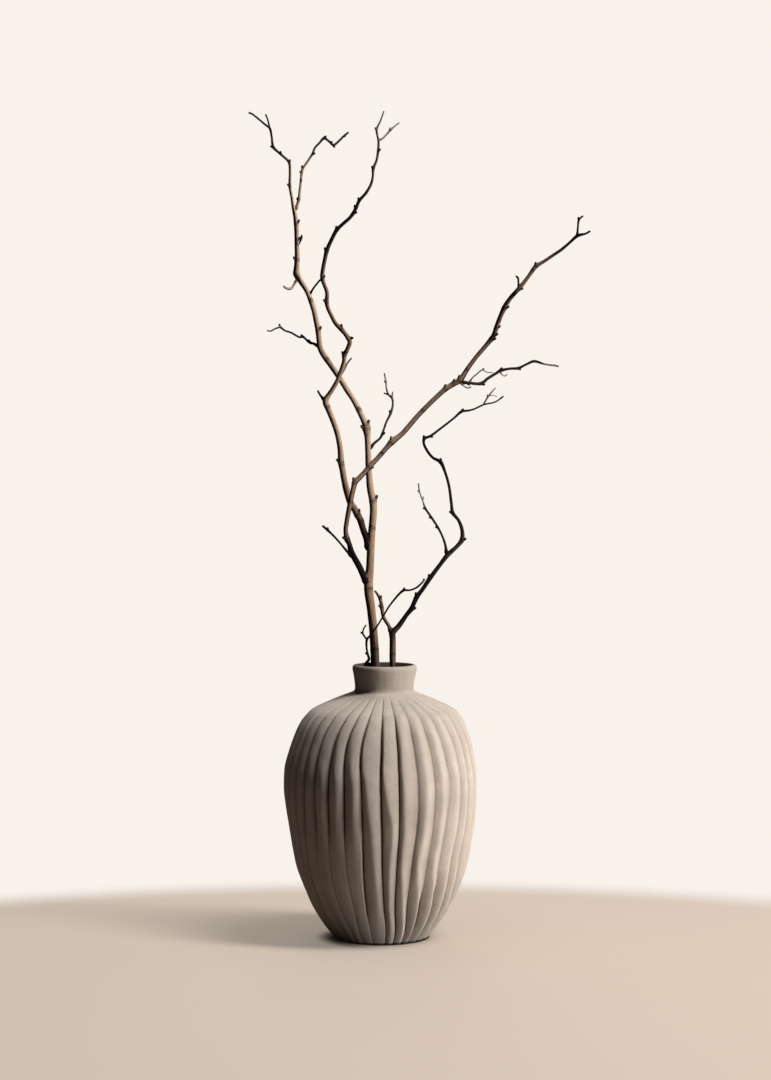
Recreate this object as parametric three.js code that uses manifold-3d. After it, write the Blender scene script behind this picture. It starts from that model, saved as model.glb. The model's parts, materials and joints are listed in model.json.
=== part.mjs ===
// Ikebana arrangement: a ribbed stoneware vase that holds a tall bare branch, a side branch and a thin
// twig. Millimetres, +Z up. The origin is the centre of the vase's foot, on the surface it stands on.
import * as THREE from 'three';
import { mergeVertices } from 'three/addons/utils/BufferGeometryUtils.js';
import Module from 'manifold-3d';

const wasm = await Module();
wasm.setup();

// ---------------------------------------------------------------- the vase's driving sizes

const RIB_COUNT = 34;
const RIB_TOP = 246; // the ribs run out just under the neck
const RIB_DEPTH = 3.4;
const RIB_FADE = 45; // height over which they rise to that depth, at the neck and at the foot
const FOOT_RIB_SHARE = 0.45; // how much of the ribs' depth is left at the foot
const PLEAT_TOP = 165; // above this the ribs are broad rounds, below PLEAT_FOOT they are narrow pleats
const PLEAT_FOOT = 75;
const PLEAT_WANDER = 0.14; // how far a pleat's crest wanders sideways, in shares of its width
const RIB_WANDER = 0.05; // and a broad rib's crest
const BACK_WANDER = 1.1; // degrees that the grooves on the back wander
const WALL = 7;
const FLOOR = 9; // top of the inner floor
const FLOOR_BEND = 5; // width of the bend between the inner floor and the inner wall

// Outer outline at the ribs' crests, foot to lip: [radius, height].
const OUTLINE = [
  [46.8, 0], [48.2, 1.6], [59.8, 15.3], [70.7, 32.9], [80.3, 54.6], [87.2, 75], [94.1, 114],
  [97.6, 145], [97.2, 167], [95.4, 178.4], [90.8, 196.1], [84.6, 213], [78.2, 223.8], [70.5, 230.6],
  [51.5, 239.6], [36.5, 245.6], [31.4, 247.8], [29.9, 251.5], [31.3, 262.8], [32.8, 270.4],
  [32.3, 273.2], [30.6, 274.6],
];
const LIP_INSIDE = [[26.4, 271.4], [28.2, 273.7], [31, 276]];

// The hand-built body leans a little: how far its axis stands to the right at each height.
const LEAN = [[0, 0], [114, 0], [151, -1.2], [178, -1.1], [196, -0.1], [212, 0.5], [229, 1.8], [276, 3]];

// Where the grooves between the ribs run on the front, in degrees round from the viewer, right positive:
// one column for each groove from the left (-6) to the right (6), one row for each height.
const GROOVE_SPAN = 6;
const GROOVES = [
  [8, [-59, -52, -39.5, -29.8, -21.8, -10.2, 3.8, 14.5, 25.3, 35.2, 48.4, 58.5, 69.5]],
  [40, [-60, -54.5, -43.6, -33.4, -21.4, -12, 2, 10.5, 20, 31, 43, 54, 66]],
  [80, [-60, -54, -43.8, -33.6, -22.5, -12, 0.5, 10, 19.7, 30, 40, 50.8, 60.5]],
  [120, [-60, -52.5, -42.2, -32.5, -22.2, -11.3, 0.3, 11, 22, 32.5, 41.5, 53, 62.5]],
  [160, [-58, -49.5, -41.2, -31.5, -21.2, -10.5, 0.8, 11.5, 22.8, 34, 44.3, 54.5, 63]],
  [200, [-59, -50.3, -41.2, -31.2, -22.5, -12.3, 0.5, 10.5, 21, 32, 42, 52.5, 62]],
  [240, [-58.5, -49, -38.7, -28, -18.5, -10, -0.8, 8.5, 18.3, 28.2, 37, 46.5, 57]],
];

// ---------------------------------------------------------------- the branches' driving sizes

// A branch is drawn as it looks from the front and then given its depth. The drawing is seen by an eye
// out in front of the vase that looks slightly down at AIM, the drawing's centre.
const EYE = new THREE.Vector3(4, -2900, 530);
const AIM = new THREE.Vector3(4, 0, 399.3);
const AIM_DRAWN_UP = 396.3; // height of AIM over the vase's foot in the drawing

// Each shoot is a route of [across, up, depth, thickness]: across and up as drawn, from the vase's foot,
// and depth away from the viewer. A fifth number adds a bud there: its side as drawn, in degrees from
// the right, counter-clockwise. "rooted" lists real places, [x, y, z, thickness], below the mouth.
const TALL_BRANCH = [
  { // trunk
    rooted: [[8.3, 2.3, 9.75, 9.4], [1.6, 9.4, 130, 9.2], [-5.2, 16.5, 250.7, 9]],
    route: [
      [-6.4, 272.3, 18, 8.8], [-6.9, 286.3, 19, 8.7], [-8.3, 307.3, 20.2, 8.4],
      [-10.9, 331.3, 21.5, 8.6], [-12.6, 343.3, 22, 9], [-13, 354.3, 22.4, 9.2],
      [-11.6, 368.3, 22.8, 8], [-10.8, 386.3, 23, 7.8], [-9.6, 406.3, 22.8, 7.4],
      [-8.1, 426.3, 22.3, 7.4], [-8.7, 436.3, 22, 8, 20], [-11, 446.3, 21.6, 7],
      [-12.6, 464.3, 20.8, 6.4], [-13.5, 486.3, 19.6, 6], [-14, 498.3, 18.9, 6.2],
      [-14.9, 507.3, 18.2, 8.2, 150], [-15.6, 511.3, 17.9, 7.2, 10], [-18, 516.3, 17.4, 6.1],
      [-22.7, 526.3, 16.5, 5.8], [-28, 536.3, 15.6, 5.6], [-34.5, 546.3, 14.6, 5.8],
      [-42.5, 559.3, 13, 5.8], [-50.8, 571.3, 11.8, 5.8], [-57.8, 581.3, 10.8, 5.9],
      [-61.3, 588.3, 10.2, 5.8], [-62.5, 596.3, 9.5, 5.4], [-63.5, 606.3, 8.7, 5.6, -20],
      [-65.5, 616.3, 7.8, 5.4], [-67.7, 626.3, 7, 5.4], [-74.6, 645.3, 5.2, 5],
      [-81.7, 656.3, 4.2, 5.4], [-84.4, 662.3, 3.6, 6.9, 185], [-84.5, 668.3, 3, 5.4],
      [-84.5, 676.3, 2.2, 5.2, 180], [-84.7, 696.3, 0, 4.8, -10], [-85.3, 713.3, -2.5, 5, 10],
      [-86.6, 722.3, -4, 4.4], [-88.3, 730.3, -5.2, 3.6], [-89.5, 738, -6.5, 3],
      [-91.6, 750.3, -8.5, 3, 190], [-91.5, 764.6, -11, 2.6], [-92.5, 774, -12.7, 2.8, 20],
      [-101, 782.3, -14.5, 2.3, 120], [-108.2, 789.3, -16, 2.6, 190], [-109.8, 799.3, -18, 2],
      [-111.8, 808, -20, 2.2], [-115.5, 811, -21, 1.9], [-121.5, 816, -23, 1.7],
      [-129.8, 823, -25, 1.6], [-133.5, 824.3, -26, 1.8],
    ],
  },
  { route: [[-111.8, 808, -20, 1.9], [-113.8, 816.6, -18.6, 1.6], [-116.2, 822.6, -17, 1.7]] },
  { // second top shoot
    route: [
      [-86.3, 726, -4.6, 3.2], [-82.8, 736, -3.6, 2.9, 150], [-81.8, 744.6, -2.4, 2.7],
      [-81, 751.3, -0.8, 2.6], [-80.2, 759.3, 1, 2.5], [-79.8, 763, 2, 2.6, 170],
      [-78.6, 768, 4, 2.6, 150], [-75.8, 772, 6, 2.5], [-71.8, 778, 9, 2.3],
      [-69, 782.3, 11, 2.5, -15], [-66.5, 788.6, 13, 2.2], [-62.5, 792.8, 15, 2.2],
      [-57.4, 798, 18, 2.5, 80], [-54.5, 796.6, 19.5, 2], [-51.6, 794, 20.5, 2, 80],
      [-48.2, 791.3, 22, 2.3, -80], [-41.5, 796.3, 26, 1.9], [-38, 800, 28.5, 1.9, 20],
      [-32.5, 804.3, 31, 1.7],
    ],
  },
  { // pale curled twig
    route: [
      [-84.8, 656.8, 4, 2], [-87.8, 651.6, 1.5, 1.6], [-89.7, 648.6, -1, 1.5],
      [-92.3, 648.4, -3.5, 1.4], [-96.8, 648.8, -6.5, 1.3],
    ],
  },
  { route: [[-84.6, 689, 0.6, 3], [-80.8, 695.3, 0, 2.4], [-79.8, 701.3, -0.6, 2.2]] }, // broken stub
  { // left twig
    route: [
      [-62.4, 589.3, 10.2, 3.4], [-67, 592.3, 12.5, 2.6], [-71.8, 593.8, 14.4, 2.9, 110],
      [-75.5, 597, 17, 2.3], [-78.8, 599.6, 19.4, 2.6, 80], [-81.5, 599, 21, 2.1],
      [-90.8, 603.8, 27.5, 2], [-96.5, 605.7, 31, 1.9], [-101.8, 609.6, 34, 2.3, 70],
      [-106.2, 607.6, 36.5, 1.8], [-111.4, 605.2, 39.5, 1.6], [-114.8, 606, 42, 1.8],
    ],
  },
  { route: [[-72.3, 641, 5.6, 2.2], [-67.8, 648.6, 3.6, 1.7], [-61.8, 656, 1.6, 1.6]] },
  { // right twig, up the back of the trunk
    route: [
      [-12.6, 487.3, 19.4, 4], [-7, 493.3, 22, 2.8], [-1.5, 498, 24, 2.5],
      [0.8, 502.3, 25.4, 2.9, 20], [2.5, 507.6, 27.5, 2.2], [4.6, 513.6, 30, 2.2],
      [9.3, 523.4, 35, 2.7, 200], [11.3, 531.6, 37.2, 2.1], [10.5, 538.3, 39, 2.5],
      [6.8, 542, 41.5, 2.1], [4.8, 549, 44.8, 1.8], [4.6, 554, 47, 1.9, 200], [2.8, 563.6, 51, 1.6],
    ],
  },
  { route: [[10.5, 538.3, 39, 2], [11.2, 545.3, 38, 1.4]] },
  { route: [[6.8, 542, 41.5, 1.8], [1.8, 543.3, 43, 1.4]] },
  { // left branch
    route: [
      [-12.4, 386.3, 23, 6.6], [-15.2, 398.3, 23, 6.6], [-18.5, 407.3, 22.3, 6.6],
      [-21.2, 416.3, 21.2, 6.8], [-24.4, 421.9, 20.4, 7, 20], [-26.7, 426.8, 19.9, 6.8],
      [-31, 433.3, 18.8, 6.6], [-35, 446.3, 16.8, 6.8], [-37.3, 456.3, 15.3, 6.3],
      [-39.2, 467.3, 13.8, 6.2], [-40.4, 474.3, 12.9, 6.4, 175], [-41.2, 486.3, 11.2, 5.6],
      [-42.8, 496.3, 10, 5.4], [-45.2, 506.3, 8.8, 5.6], [-48.8, 516.3, 7.6, 5.6],
      [-53, 526.7, 6.2, 5.8], [-56, 535.3, 5.2, 6.4], [-52.2, 542.3, 4.6, 4.8],
      [-49.4, 546.4, 4, 4.6], [-43.8, 556.3, 3.2, 4.6], [-42, 561.3, 3, 4.6], [-40, 566, 3, 4.9],
      [-37.5, 575, 2.2, 4.3], [-37, 581.3, 1.4, 4.8, 170], [-34.5, 586.3, 0, 4.4],
      [-31.7, 594.3, -2, 4.6], [-33.4, 598.4, -2.8, 5.2], [-36.5, 602.6, -3.6, 4.4],
      [-40.8, 607.8, -4.4, 4.9, 70], [-45.6, 612.6, -4.9, 4.2], [-50.3, 621, -5.6, 4],
      [-54, 629.6, -6.2, 4.1], [-54.8, 634.3, -6.6, 4.3, 170], [-54.6, 644, -7.2, 4],
      [-57.2, 651.6, -7.6, 4], [-59.3, 658, -8, 4.2, 0], [-58.4, 667.6, -9.2, 4.2],
      [-56.6, 677.3, -10.8, 4.1], [-54.8, 685.3, -12.2, 4.3, 165], [-50.3, 696, -14.2, 3.8],
      [-44.5, 706.6, -16.6, 4, 140], [-39.8, 711.3, -18, 3.6], [-31.2, 719, -20.6, 3.5],
      [-28, 723.6, -21.6, 3.7, 0], [-25.6, 728, -22.8, 3.6, 150], [-22.2, 735.6, -24.6, 3.3, 150],
      [-15.5, 743.3, -27, 3], [-10.4, 752.3, -29, 2.8], [-8.6, 760, -30.4, 2.5],
      [-8.1, 767.6, -31.6, 3, 170], [-4.9, 776, -33, 2.5], [-3.3, 785.6, -34.6, 2.7, -20],
      [-3, 796, -36, 2.6], [-4.2, 801.3, -37, 2.1], [-4.8, 806.6, -38, 2.4, 160],
      [-0.8, 816, -40.5, 1.8], [2.8, 826.3, -43, 1.7],
    ],
  },
  { route: [[-56, 535.3, 5.2, 4], [-60.8, 540.6, 3, 2.2], [-64.2, 546.3, 0.6, 2]] },
  { // thin shoot beside the crossing
    route: [
      [-42, 560.6, 3, 3], [-37.5, 566.3, 5.6, 2.2], [-34.2, 573, 8.6, 1.8], [-29.5, 578.8, 12, 1.7],
    ],
  },
  { route: [[-33, 597.8, -2.6, 3.4], [-27.5, 598.6, -3.6, 2]] },
  { // the left branch's second tip
    route: [
      [-3, 796, -36, 2.2], [1.2, 798, -35, 2], [4.5, 801.3, -34, 1.9], [8.8, 806, -33, 2.3, 80],
      [13.8, 810.6, -31.6, 1.6], [18.2, 814, -30, 1.7],
    ],
  },
  { // diagonal branch
    route: [
      [-13, 351.3, 21.8, 6.4], [-17, 358.5, 20.4, 6.6], [-22.3, 369.8, 18.6, 6.4],
      [-27.9, 380, 16.6, 6], [-30.7, 386.3, 15.6, 5.8], [-32, 391.8, 14.6, 5],
      [-34.4, 397.6, 13.8, 5.8, 200], [-35.8, 406.3, 12.4, 4.7], [-34.5, 416.3, 11, 4.9],
      [-32.7, 426.3, 9.6, 5.2], [-30.7, 436.3, 8, 5.3], [-28.3, 447.3, 6.4, 5.2],
      [-26.4, 454.3, 5.4, 5.8, 120], [-22.6, 458, 4.6, 5.2], [-17.8, 463, 3.6, 5],
      [-13.2, 468.3, 2.4, 5.2], [-9.2, 473, 1.2, 5.4, -80], [-3.8, 478.3, -0.4, 4.8],
      [4.8, 488.3, -3, 5], [10.6, 494.6, -4.8, 5.6, 90], [20.2, 502.3, -7.6, 5.1],
      [38.5, 523, -13.8, 5], [54.6, 538.9, -19.6, 5], [64, 547.3, -22.6, 5.4, 140],
      [72.5, 552.6, -24.8, 5.4, 130], [78.2, 556, -26.8, 5.8, 100], [86.2, 567.9, -30, 4.5],
      [94.6, 579.2, -33.6, 4.3], [103, 589, -37, 4.4], [110, 597.6, -40, 5, -20],
      [112.4, 601.4, -41.2, 4.6, 20], [114.9, 609, -43, 4.5, 20], [118, 619.8, -45.8, 4.2],
      [122.4, 629, -49, 4.4, -30], [128.3, 638.1, -52, 3.8], [137.4, 647.9, -55.6, 4.4, -60],
      [145.1, 659.1, -58.8, 3.3], [154, 670.4, -62, 4.4, 110], [162, 674.6, -65.2, 3.3],
      [170.4, 680.2, -68.6, 3.2], [178.8, 685.8, -72, 3], [187.2, 692.8, -75.4, 2.7],
      [196.3, 700.6, -79.6, 3.3], [204.1, 702.6, -82, 2.1], [209.4, 705.7, -83.6, 2],
    ],
  },
  { // twig under the diagonal branch
    route: [
      [-29, 379, 16.2, 3.6], [-35.4, 386, 13.6, 2.6], [-41.3, 393.1, 11.4, 2.1],
      [-48.8, 401.3, 8.6, 2.2], [-54, 406.2, 6.6, 2.6, 80], [-59.6, 411, 4, 2.4],
    ],
  },
  { // twig on the diagonal branch's outer third
    route: [
      [137.4, 648, -55.6, 2.6], [136.9, 653.5, -55, 2], [136.3, 658.6, -54, 2.2],
      [133.6, 660.6, -53, 1.5],
    ],
  },
  { // the diagonal branch's upper tip
    route: [
      [195.6, 700, -79.6, 2.6], [196.3, 708.3, -80.6, 2], [197.5, 716.6, -81.6, 2.2, 140],
      [202.2, 720.9, -83, 1.5],
    ],
  },
  { // right side branch of the diagonal
    route: [
      [78.5, 554, -26.8, 3.6], [86, 553.6, -25, 3.1, -80], [94, 552.6, -22.6, 3.1],
      [100.2, 553, -20.4, 3.5, -60], [106, 557.6, -18.4, 2.9], [114.3, 562.8, -15.6, 2.9],
      [119, 565.6, -14, 3.3, 90], [128, 567.6, -10.8, 2.6], [136.7, 568.2, -7.8, 2.8, -60],
      [145, 572, -5, 2.4], [152.4, 575, -2.4, 2.9], [162, 572.4, 0.6, 2.1], [174.6, 570.6, 4.4, 2.2],
      [177.8, 569.6, 5.4, 1.6],
    ],
  },
  { // fine pale twigs along it
    route: [
      [88.3, 554.6, -24.4, 1.8], [91, 558.6, -25.6, 1.4], [94.6, 561.6, -27, 1.5],
      [101.3, 566.5, -29.6, 1.5, 60], [104.5, 564.4, -30.4, 1.2], [112, 563.6, -32, 1.2],
    ],
  },
  { route: [[78.5, 553.3, -26.8, 1.8], [82.8, 550, -28.8, 1.4], [86.2, 548.3, -30.4, 1.5],
    [90.4, 549.6, -32, 1.3]] },
  { route: [[119, 565, -14, 1.8], [120.6, 561.6, -15.4, 1.3], [123.6, 560.3, -17, 1.2],
    [125.8, 562.6, -18.6, 1.3]] },
];

const SIDE_BRANCH = [
  { // stem and right shoot
    rooted: [[11.1, -7.6, 9.55, 6.8], [11.1, -12.5, 130, 6.6], [11.1, -17.3, 250.7, 6.3]],
    route: [
      [11.1, 271.3, -18.2, 6.3], [11.1, 285.3, -18.8, 6.2], [11.1, 298.3, -19.3, 6.2],
      [10.8, 303.3, -19.5, 6.8], [16.6, 309.6, -19.3, 5.4], [25.2, 321.6, -18.8, 4.6],
      [30, 327.7, -18.5, 5, -30], [32.6, 333.6, -18.2, 4.6], [35.6, 339.8, -17.7, 4.9, 170],
      [41.2, 347.2, -17, 4.3], [48.4, 358, -15.6, 4.6, 150], [58.2, 371.1, -13.4, 4.3],
      [66.4, 381.6, -11, 4.9], [74.8, 389.3, -8.2, 4.2], [80.3, 396.4, -6.4, 4.9, -20],
      [80.6, 406.3, -4.2, 3.8], [77, 416, -1.6, 3.4], [71.3, 423.4, 0.8, 3.8, 190],
      [69.8, 433.3, 3.4, 3], [67.6, 449.7, 7.6, 2.8], [64, 462.8, 11, 2.8],
      [58.9, 474.3, 14.4, 3.9, 60], [51.4, 478.6, 16.8, 2.8], [45.6, 485.6, 19.4, 2.8],
      [42.2, 493.3, 21.8, 2.7], [42.8, 497.6, 23, 3.4, 110], [48.7, 500.2, 24.6, 2.6, -90],
      [59.2, 507.9, 28, 2.3], [71.8, 517.7, 32, 2.2], [80.4, 524.9, 35.6, 2.9, 70],
      [86, 525.6, 37.4, 2.2], [92, 527, 38.6, 1.9], [102, 531.6, 41.6, 1.8],
      [113.5, 534.3, 44.8, 1.5], [122.4, 540.3, 48, 1.8],
    ],
  },
  { // left shoot, up to the tall branch's lit side
    route: [
      [10.6, 303, -19.5, 5.2], [7.3, 310.3, -18, 3.6], [1.9, 319.6, -15.6, 3.6],
      [0.3, 329, -13.2, 3.8, 180], [-1.5, 337.6, -11, 3.4, 40], [-5.2, 343.6, -8.8, 2.4],
      [-7.4, 346, -7.6, 1.8],
    ],
  },
  { // thin side twig
    route: [
      [65.2, 381.6, -11, 3.6], [63.6, 392.1, -12.4, 2.5], [60.6, 400.6, -15, 2.2],
      [56.4, 408.9, -17.6, 2.4, 170], [50, 418.8, -21.2, 2.4, 200], [44, 427.8, -24.6, 2.4, 190],
      [41.1, 435.8, -27, 1.7], [38, 444.8, -30, 1.8, 170], [36.8, 453.6, -33, 1.7],
    ],
  },
  { route: [[41.1, 435.8, -27, 1.6], [41.9, 440.6, -26, 1.5]] },
  { route: [[101.9, 531.6, 41.6, 1.7], [106.6, 539.6, 39.6, 1.8, 150], [114.3, 549.1, 36.6, 1.2]] },
  { route: [[107.4, 540.4, 39.4, 1.4], [111.5, 541, 42, 1.1], [116, 539.6, 45, 1.1]] },
];

const THIN_TWIG = [
  { // stem and right fork
    rooted: [[-6, -3.2, 9.45, 2.6], [-11, -7.4, 130, 2.5], [-15.9, -11.4, 250.7, 2.4]],
    route: [
      [-15.7, 272.6, -12.6, 2.9], [-12.6, 276.8, -13, 3], [-13.8, 282.3, -13.8, 2.4, 150],
      [-14.9, 288.3, -14.8, 2.1], [-14.6, 296.6, -16.4, 2.6], [-11.1, 301.2, -18, 1.9],
      [-5, 309.2, -20.4, 1.8], [2, 320.6, -23.6, 1.8], [8.8, 331.6, -24.6, 1.9],
      [22.2, 345.9, -25, 2.6, 120], [27.6, 346, -25, 1.9], [34.8, 348.6, -24.4, 2],
      [42.4, 355.3, -23.4, 1.9, 100],
    ],
  },
  { route: [[-14.6, 296.6, -16.4, 2], [-18.7, 303, -18.4, 1.9, 180], [-17.8, 307.6, -19.6, 1.6],
    [-14.9, 311.9, -21, 1.5]] },
];

const STEP_BASE = 6; // rings stand this far apart on the thinnest twig
const STEP_PER_MM = 1.1; // and this much further for each millimetre of thickness
const TIP_SHARE = 0.45; // how thick a shoot's very tip is against its last point
const BUD_LENGTH = 1.1; // how far a bud stands out of the thinnest twig
const BUD_LENGTH_PER_MM = 0.22; // and how much further for each millimetre of the twig's thickness
const BUD_RADIUS = 0.9; // its base on the thinnest twig, grown in the same way
const BUD_RADIUS_PER_MM = 0.28;
const BUD_LEAN = 30; // degrees a bud leans forward along its shoot
const BUD_TO_VIEWER = -0.25; // a bud drawn at the side also turns a little to the viewer
const BUD_SIDES = 4;
const SLEEPING_BUD_STEP = 60; // small buds on the front and back of every shoot
const SLEEPING_BUD_SHARE = 0.7;
const LOWEST_BUD = 287; // the stems are bare in the vase and just over its lip

// ---------------------------------------------------------------- solids

// A merged, closed geometry as a solid that can be joined and cut.
function solidOf(geometry) {
  geometry.deleteAttribute('normal');
  geometry.deleteAttribute('uv');
  const merged = mergeVertices(geometry, 1e-4);
  return new wasm.Manifold(new wasm.Mesh({
    numProp: 3,
    vertProperties: new Float32Array(merged.attributes.position.array),
    triVerts: new Uint32Array(merged.index.array),
  }));
}

function meshOf(name, solid, material) {
  const result = solid.getMesh();
  const geometry = new THREE.BufferGeometry();
  geometry.setAttribute('position', new THREE.BufferAttribute(new Float32Array(result.vertProperties), 3));
  geometry.setIndex(new THREE.BufferAttribute(new Uint32Array(result.triVerts), 1));
  geometry.computeVertexNormals();
  const mesh = new THREE.Mesh(geometry, material);
  mesh.name = name;
  return mesh;
}

// Smooth value at x through hand-set [x, value] pairs that rise in x.
function through(pairs, x) {
  const last = pairs.length - 1;
  const i = Math.min(Math.max(pairs.findIndex((pair) => pair[0] > x), 1), last);
  const [x0, v0] = pairs[x >= pairs[last][0] ? last - 1 : i - 1];
  const [x1, v1] = pairs[x >= pairs[last][0] ? last : i];
  return THREE.MathUtils.lerp(v0, v1, THREE.MathUtils.smoothstep(x, x0, x1));
}

// ---------------------------------------------------------------- vase

const outline = new THREE.SplineCurve(OUTLINE.map(([r, z]) => new THREE.Vector2(r, z)));
const OUTLINE_ROWS = 24;
const COLUMNS_PER_RIB = 4;
const FLANK_COLUMN = 0.42; // where the column between a groove and its crest stands
const INSIDE_ROWS = 13;
const INSIDE_SIDES = 36;

// Angle of groove number k at a height, in degrees. The grooves that the front doesn't show are spread
// evenly round the back.
function grooveAngle(k, z) {
  const number = ((k + RIB_COUNT / 2) % RIB_COUNT + RIB_COUNT) % RIB_COUNT - RIB_COUNT / 2;
  const turns = Math.round((k - number) / RIB_COUNT) * 360;
  const front = (n) => through(GROOVES.map(([height, angles]) => [height, angles[n + GROOVE_SPAN]]), z);
  if (Math.abs(number) <= GROOVE_SPAN) return front(number) + turns;
  const right = front(GROOVE_SPAN);
  const backRibs = RIB_COUNT - 2 * GROOVE_SPAN;
  const backPitch = (front(-GROOVE_SPAN) + 360 - right) / backRibs;
  const steps = (number > 0 ? number : number + RIB_COUNT) - GROOVE_SPAN;
  const wave = Math.sin(2.4 * steps + z / 31) * Math.sin(Math.PI * steps / backRibs);
  return right + steps * backPitch + BACK_WANDER * wave + (number > 0 ? 0 : -360) + turns;
}

// Where the crest stands between its two grooves, 0 to 1: the pleats wander as they come down.
function crestAt(k, z) {
  const pleatWander = PLEAT_WANDER * pleatAt(z) * Math.sin(1.9 * k + z / 24);
  return 0.52 + pleatWander + RIB_WANDER * Math.sin(3.1 * k + z / 40);
}

function pleatAt(z) {
  return 1 - THREE.MathUtils.smoothstep(z, PLEAT_FOOT, PLEAT_TOP);
}

// How far the surface lies under the crest line, for a share 0 to 1 of the way from groove to crest.
function ribFall(flank, z) {
  const round = (1 - flank) ** 2.6;
  const narrow = 0.5 + 0.5 * Math.cos(Math.PI * flank ** 1.15);
  const shape = THREE.MathUtils.lerp(round, narrow, pleatAt(z));
  const top = THREE.MathUtils.smoothstep(RIB_TOP - z, 0, RIB_FADE) ** 0.6;
  const foot = THREE.MathUtils.lerp(FOOT_RIB_SHARE, 1, THREE.MathUtils.smoothstep(z, 0, RIB_FADE));
  return RIB_DEPTH * shape * top * foot;
}

// The ribbed body, lip and foot as one closed shell: each column follows its own rib down the outline.
function vaseOutside() {
  const columns = RIB_COUNT * COLUMNS_PER_RIB;
  const geometry = new THREE.CylinderGeometry(1, 1, 1, columns, OUTLINE_ROWS);
  const place = geometry.attributes.position;
  for (let i = 0; i < place.count; i += 1) {
    const [x, y, z] = [place.getX(i), place.getY(i), place.getZ(i)];
    const ring = outline.getPoint(y + 0.5);
    const height = THREE.MathUtils.clamp(ring.y, 0, OUTLINE.at(-1)[1]);
    if (Math.hypot(x, z) < 0.5) {
      place.setXYZ(i, through(LEAN, height), 0, height);
      continue;
    }
    const column = Math.round((Math.atan2(x, z) / (2 * Math.PI)) * columns + columns) % columns;
    const rib = Math.floor(column / COLUMNS_PER_RIB);
    const crest = crestAt(rib, height);
    const parts = [0, FLANK_COLUMN * crest, crest, 1 - FLANK_COLUMN * (1 - crest)];
    const part = parts[column % COLUMNS_PER_RIB];
    const flank = part <= crest ? part / crest : (1 - part) / (1 - crest);
    const angle = THREE.MathUtils.degToRad(
      THREE.MathUtils.lerp(grooveAngle(rib, height), grooveAngle(rib + 1, height), part));
    const radius = ring.x - ribFall(flank, height);
    place.setXYZ(i, through(LEAN, height) + radius * Math.sin(angle), -radius * Math.cos(angle), height);
  }
  return solidOf(geometry);
}

// The hollow: the outline moved in by the wall, with a flat floor, and flared open at the lip.
function vaseInside() {
  const profile = [];
  for (let i = 0; i <= INSIDE_ROWS; i += 1) {
    const share = i / INSIDE_ROWS;
    const point = outline.getPoint(share);
    const along = outline.getTangent(share);
    profile.push(new THREE.Vector2(point.x - WALL * along.y, point.y + WALL * along.x));
  }
  const walls = profile.filter((p) => p.y > FLOOR + FLOOR_BEND / 2 && p.y < LIP_INSIDE[0][1] - WALL / 2);
  const rows = [
    new THREE.Vector2(0, FLOOR),
    new THREE.Vector2(walls[0].x - FLOOR_BEND, FLOOR),
    ...walls,
    ...LIP_INSIDE.map(([r, z]) => new THREE.Vector2(r, z)),
    new THREE.Vector2(0, LIP_INSIDE.at(-1)[1]),
  ];
  const geometry = new THREE.LatheGeometry(rows, INSIDE_SIDES);
  geometry.rotateX(Math.PI / 2);
  const place = geometry.attributes.position;
  for (let i = 0; i < place.count; i += 1) place.setX(i, place.getX(i) + through(LEAN, place.getZ(i)));
  return solidOf(geometry);
}

function vase() {
  const stoneware = new THREE.MeshStandardMaterial({ color: 0xb9a894, roughness: 0.9, metalness: 0 });
  return meshOf('vase', vaseOutside().subtract(vaseInside()), stoneware);
}

// ---------------------------------------------------------------- branches

// The real place of a drawn point: it slides along its line of sight to its own depth.
function seen(across, up, depth) {
  const sight = AIM.clone().sub(EYE).normalize();
  const right = new THREE.Vector3(1, 0, 0);
  const upright = right.clone().cross(sight);
  const drawn = AIM.clone()
    .addScaledVector(right, across - AIM.x)
    .addScaledVector(upright, up - AIM_DRAWN_UP);
  const ray = drawn.sub(EYE);
  return EYE.clone().addScaledVector(ray, (depth - EYE.y) / ray.y);
}

function sidesFor(thickness) {
  if (thickness > 7.5) return 8;
  if (thickness > 4) return 6;
  return thickness > 2.4 ? 5 : 4;
}

// Rings along a shoot: places on a smooth curve through its points, with directions and thicknesses.
function ringsOf({ rooted = [], route }) {
  const points = [
    ...rooted.map(([x, y, z]) => new THREE.Vector3(x, y, z)),
    ...route.map(([across, up, depth]) => seen(across, up, depth)),
  ];
  const thick = [...rooted, ...route].map((point) => point[3]);
  const curve = new THREE.CatmullRomCurve3(points, false, 'centripetal');
  const rings = [];
  const spans = points.length - 1;
  for (let span = 0; span < spans; span += 1) {
    const length = points[span].distanceTo(points[span + 1]);
    const parts = Math.max(1, Math.round(length / (STEP_BASE + STEP_PER_MM * thick[span])));
    for (let part = 0; part < parts; part += 1) {
      const share = (span + part / parts) / spans;
      const wide = THREE.MathUtils.lerp(thick[span], thick[span + 1], part / parts);
      rings.push({ centre: curve.getPoint(share), along: curve.getTangent(share), wide });
    }
  }
  rings.push({ centre: points[spans], along: curve.getTangent(1), wide: thick[spans] * TIP_SHARE });
  return rings;
}

// One shoot: a cylinder wrapped along its rings, closed at both ends.
function shoot(rings) {
  const geometry = new THREE.CylinderGeometry(1, 1, 1, sidesFor(rings[0].wide), rings.length - 1);
  const across = new THREE.Vector3(1, 0, 0);
  for (const ring of rings) {
    across.addScaledVector(ring.along, -across.dot(ring.along)).normalize();
    ring.across = across.clone();
    ring.over = ring.across.clone().cross(ring.along);
  }
  const place = geometry.attributes.position;
  for (let i = 0; i < place.count; i += 1) {
    const ring = rings[Math.round((place.getY(i) + 0.5) * (rings.length - 1))];
    const spot = ring.centre.clone()
      .addScaledVector(ring.across, place.getX(i) * ring.wide / 2)
      .addScaledVector(ring.over, place.getZ(i) * ring.wide / 2);
    place.setXYZ(i, spot.x, spot.y, spot.z);
  }
  return solidOf(geometry);
}

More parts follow.
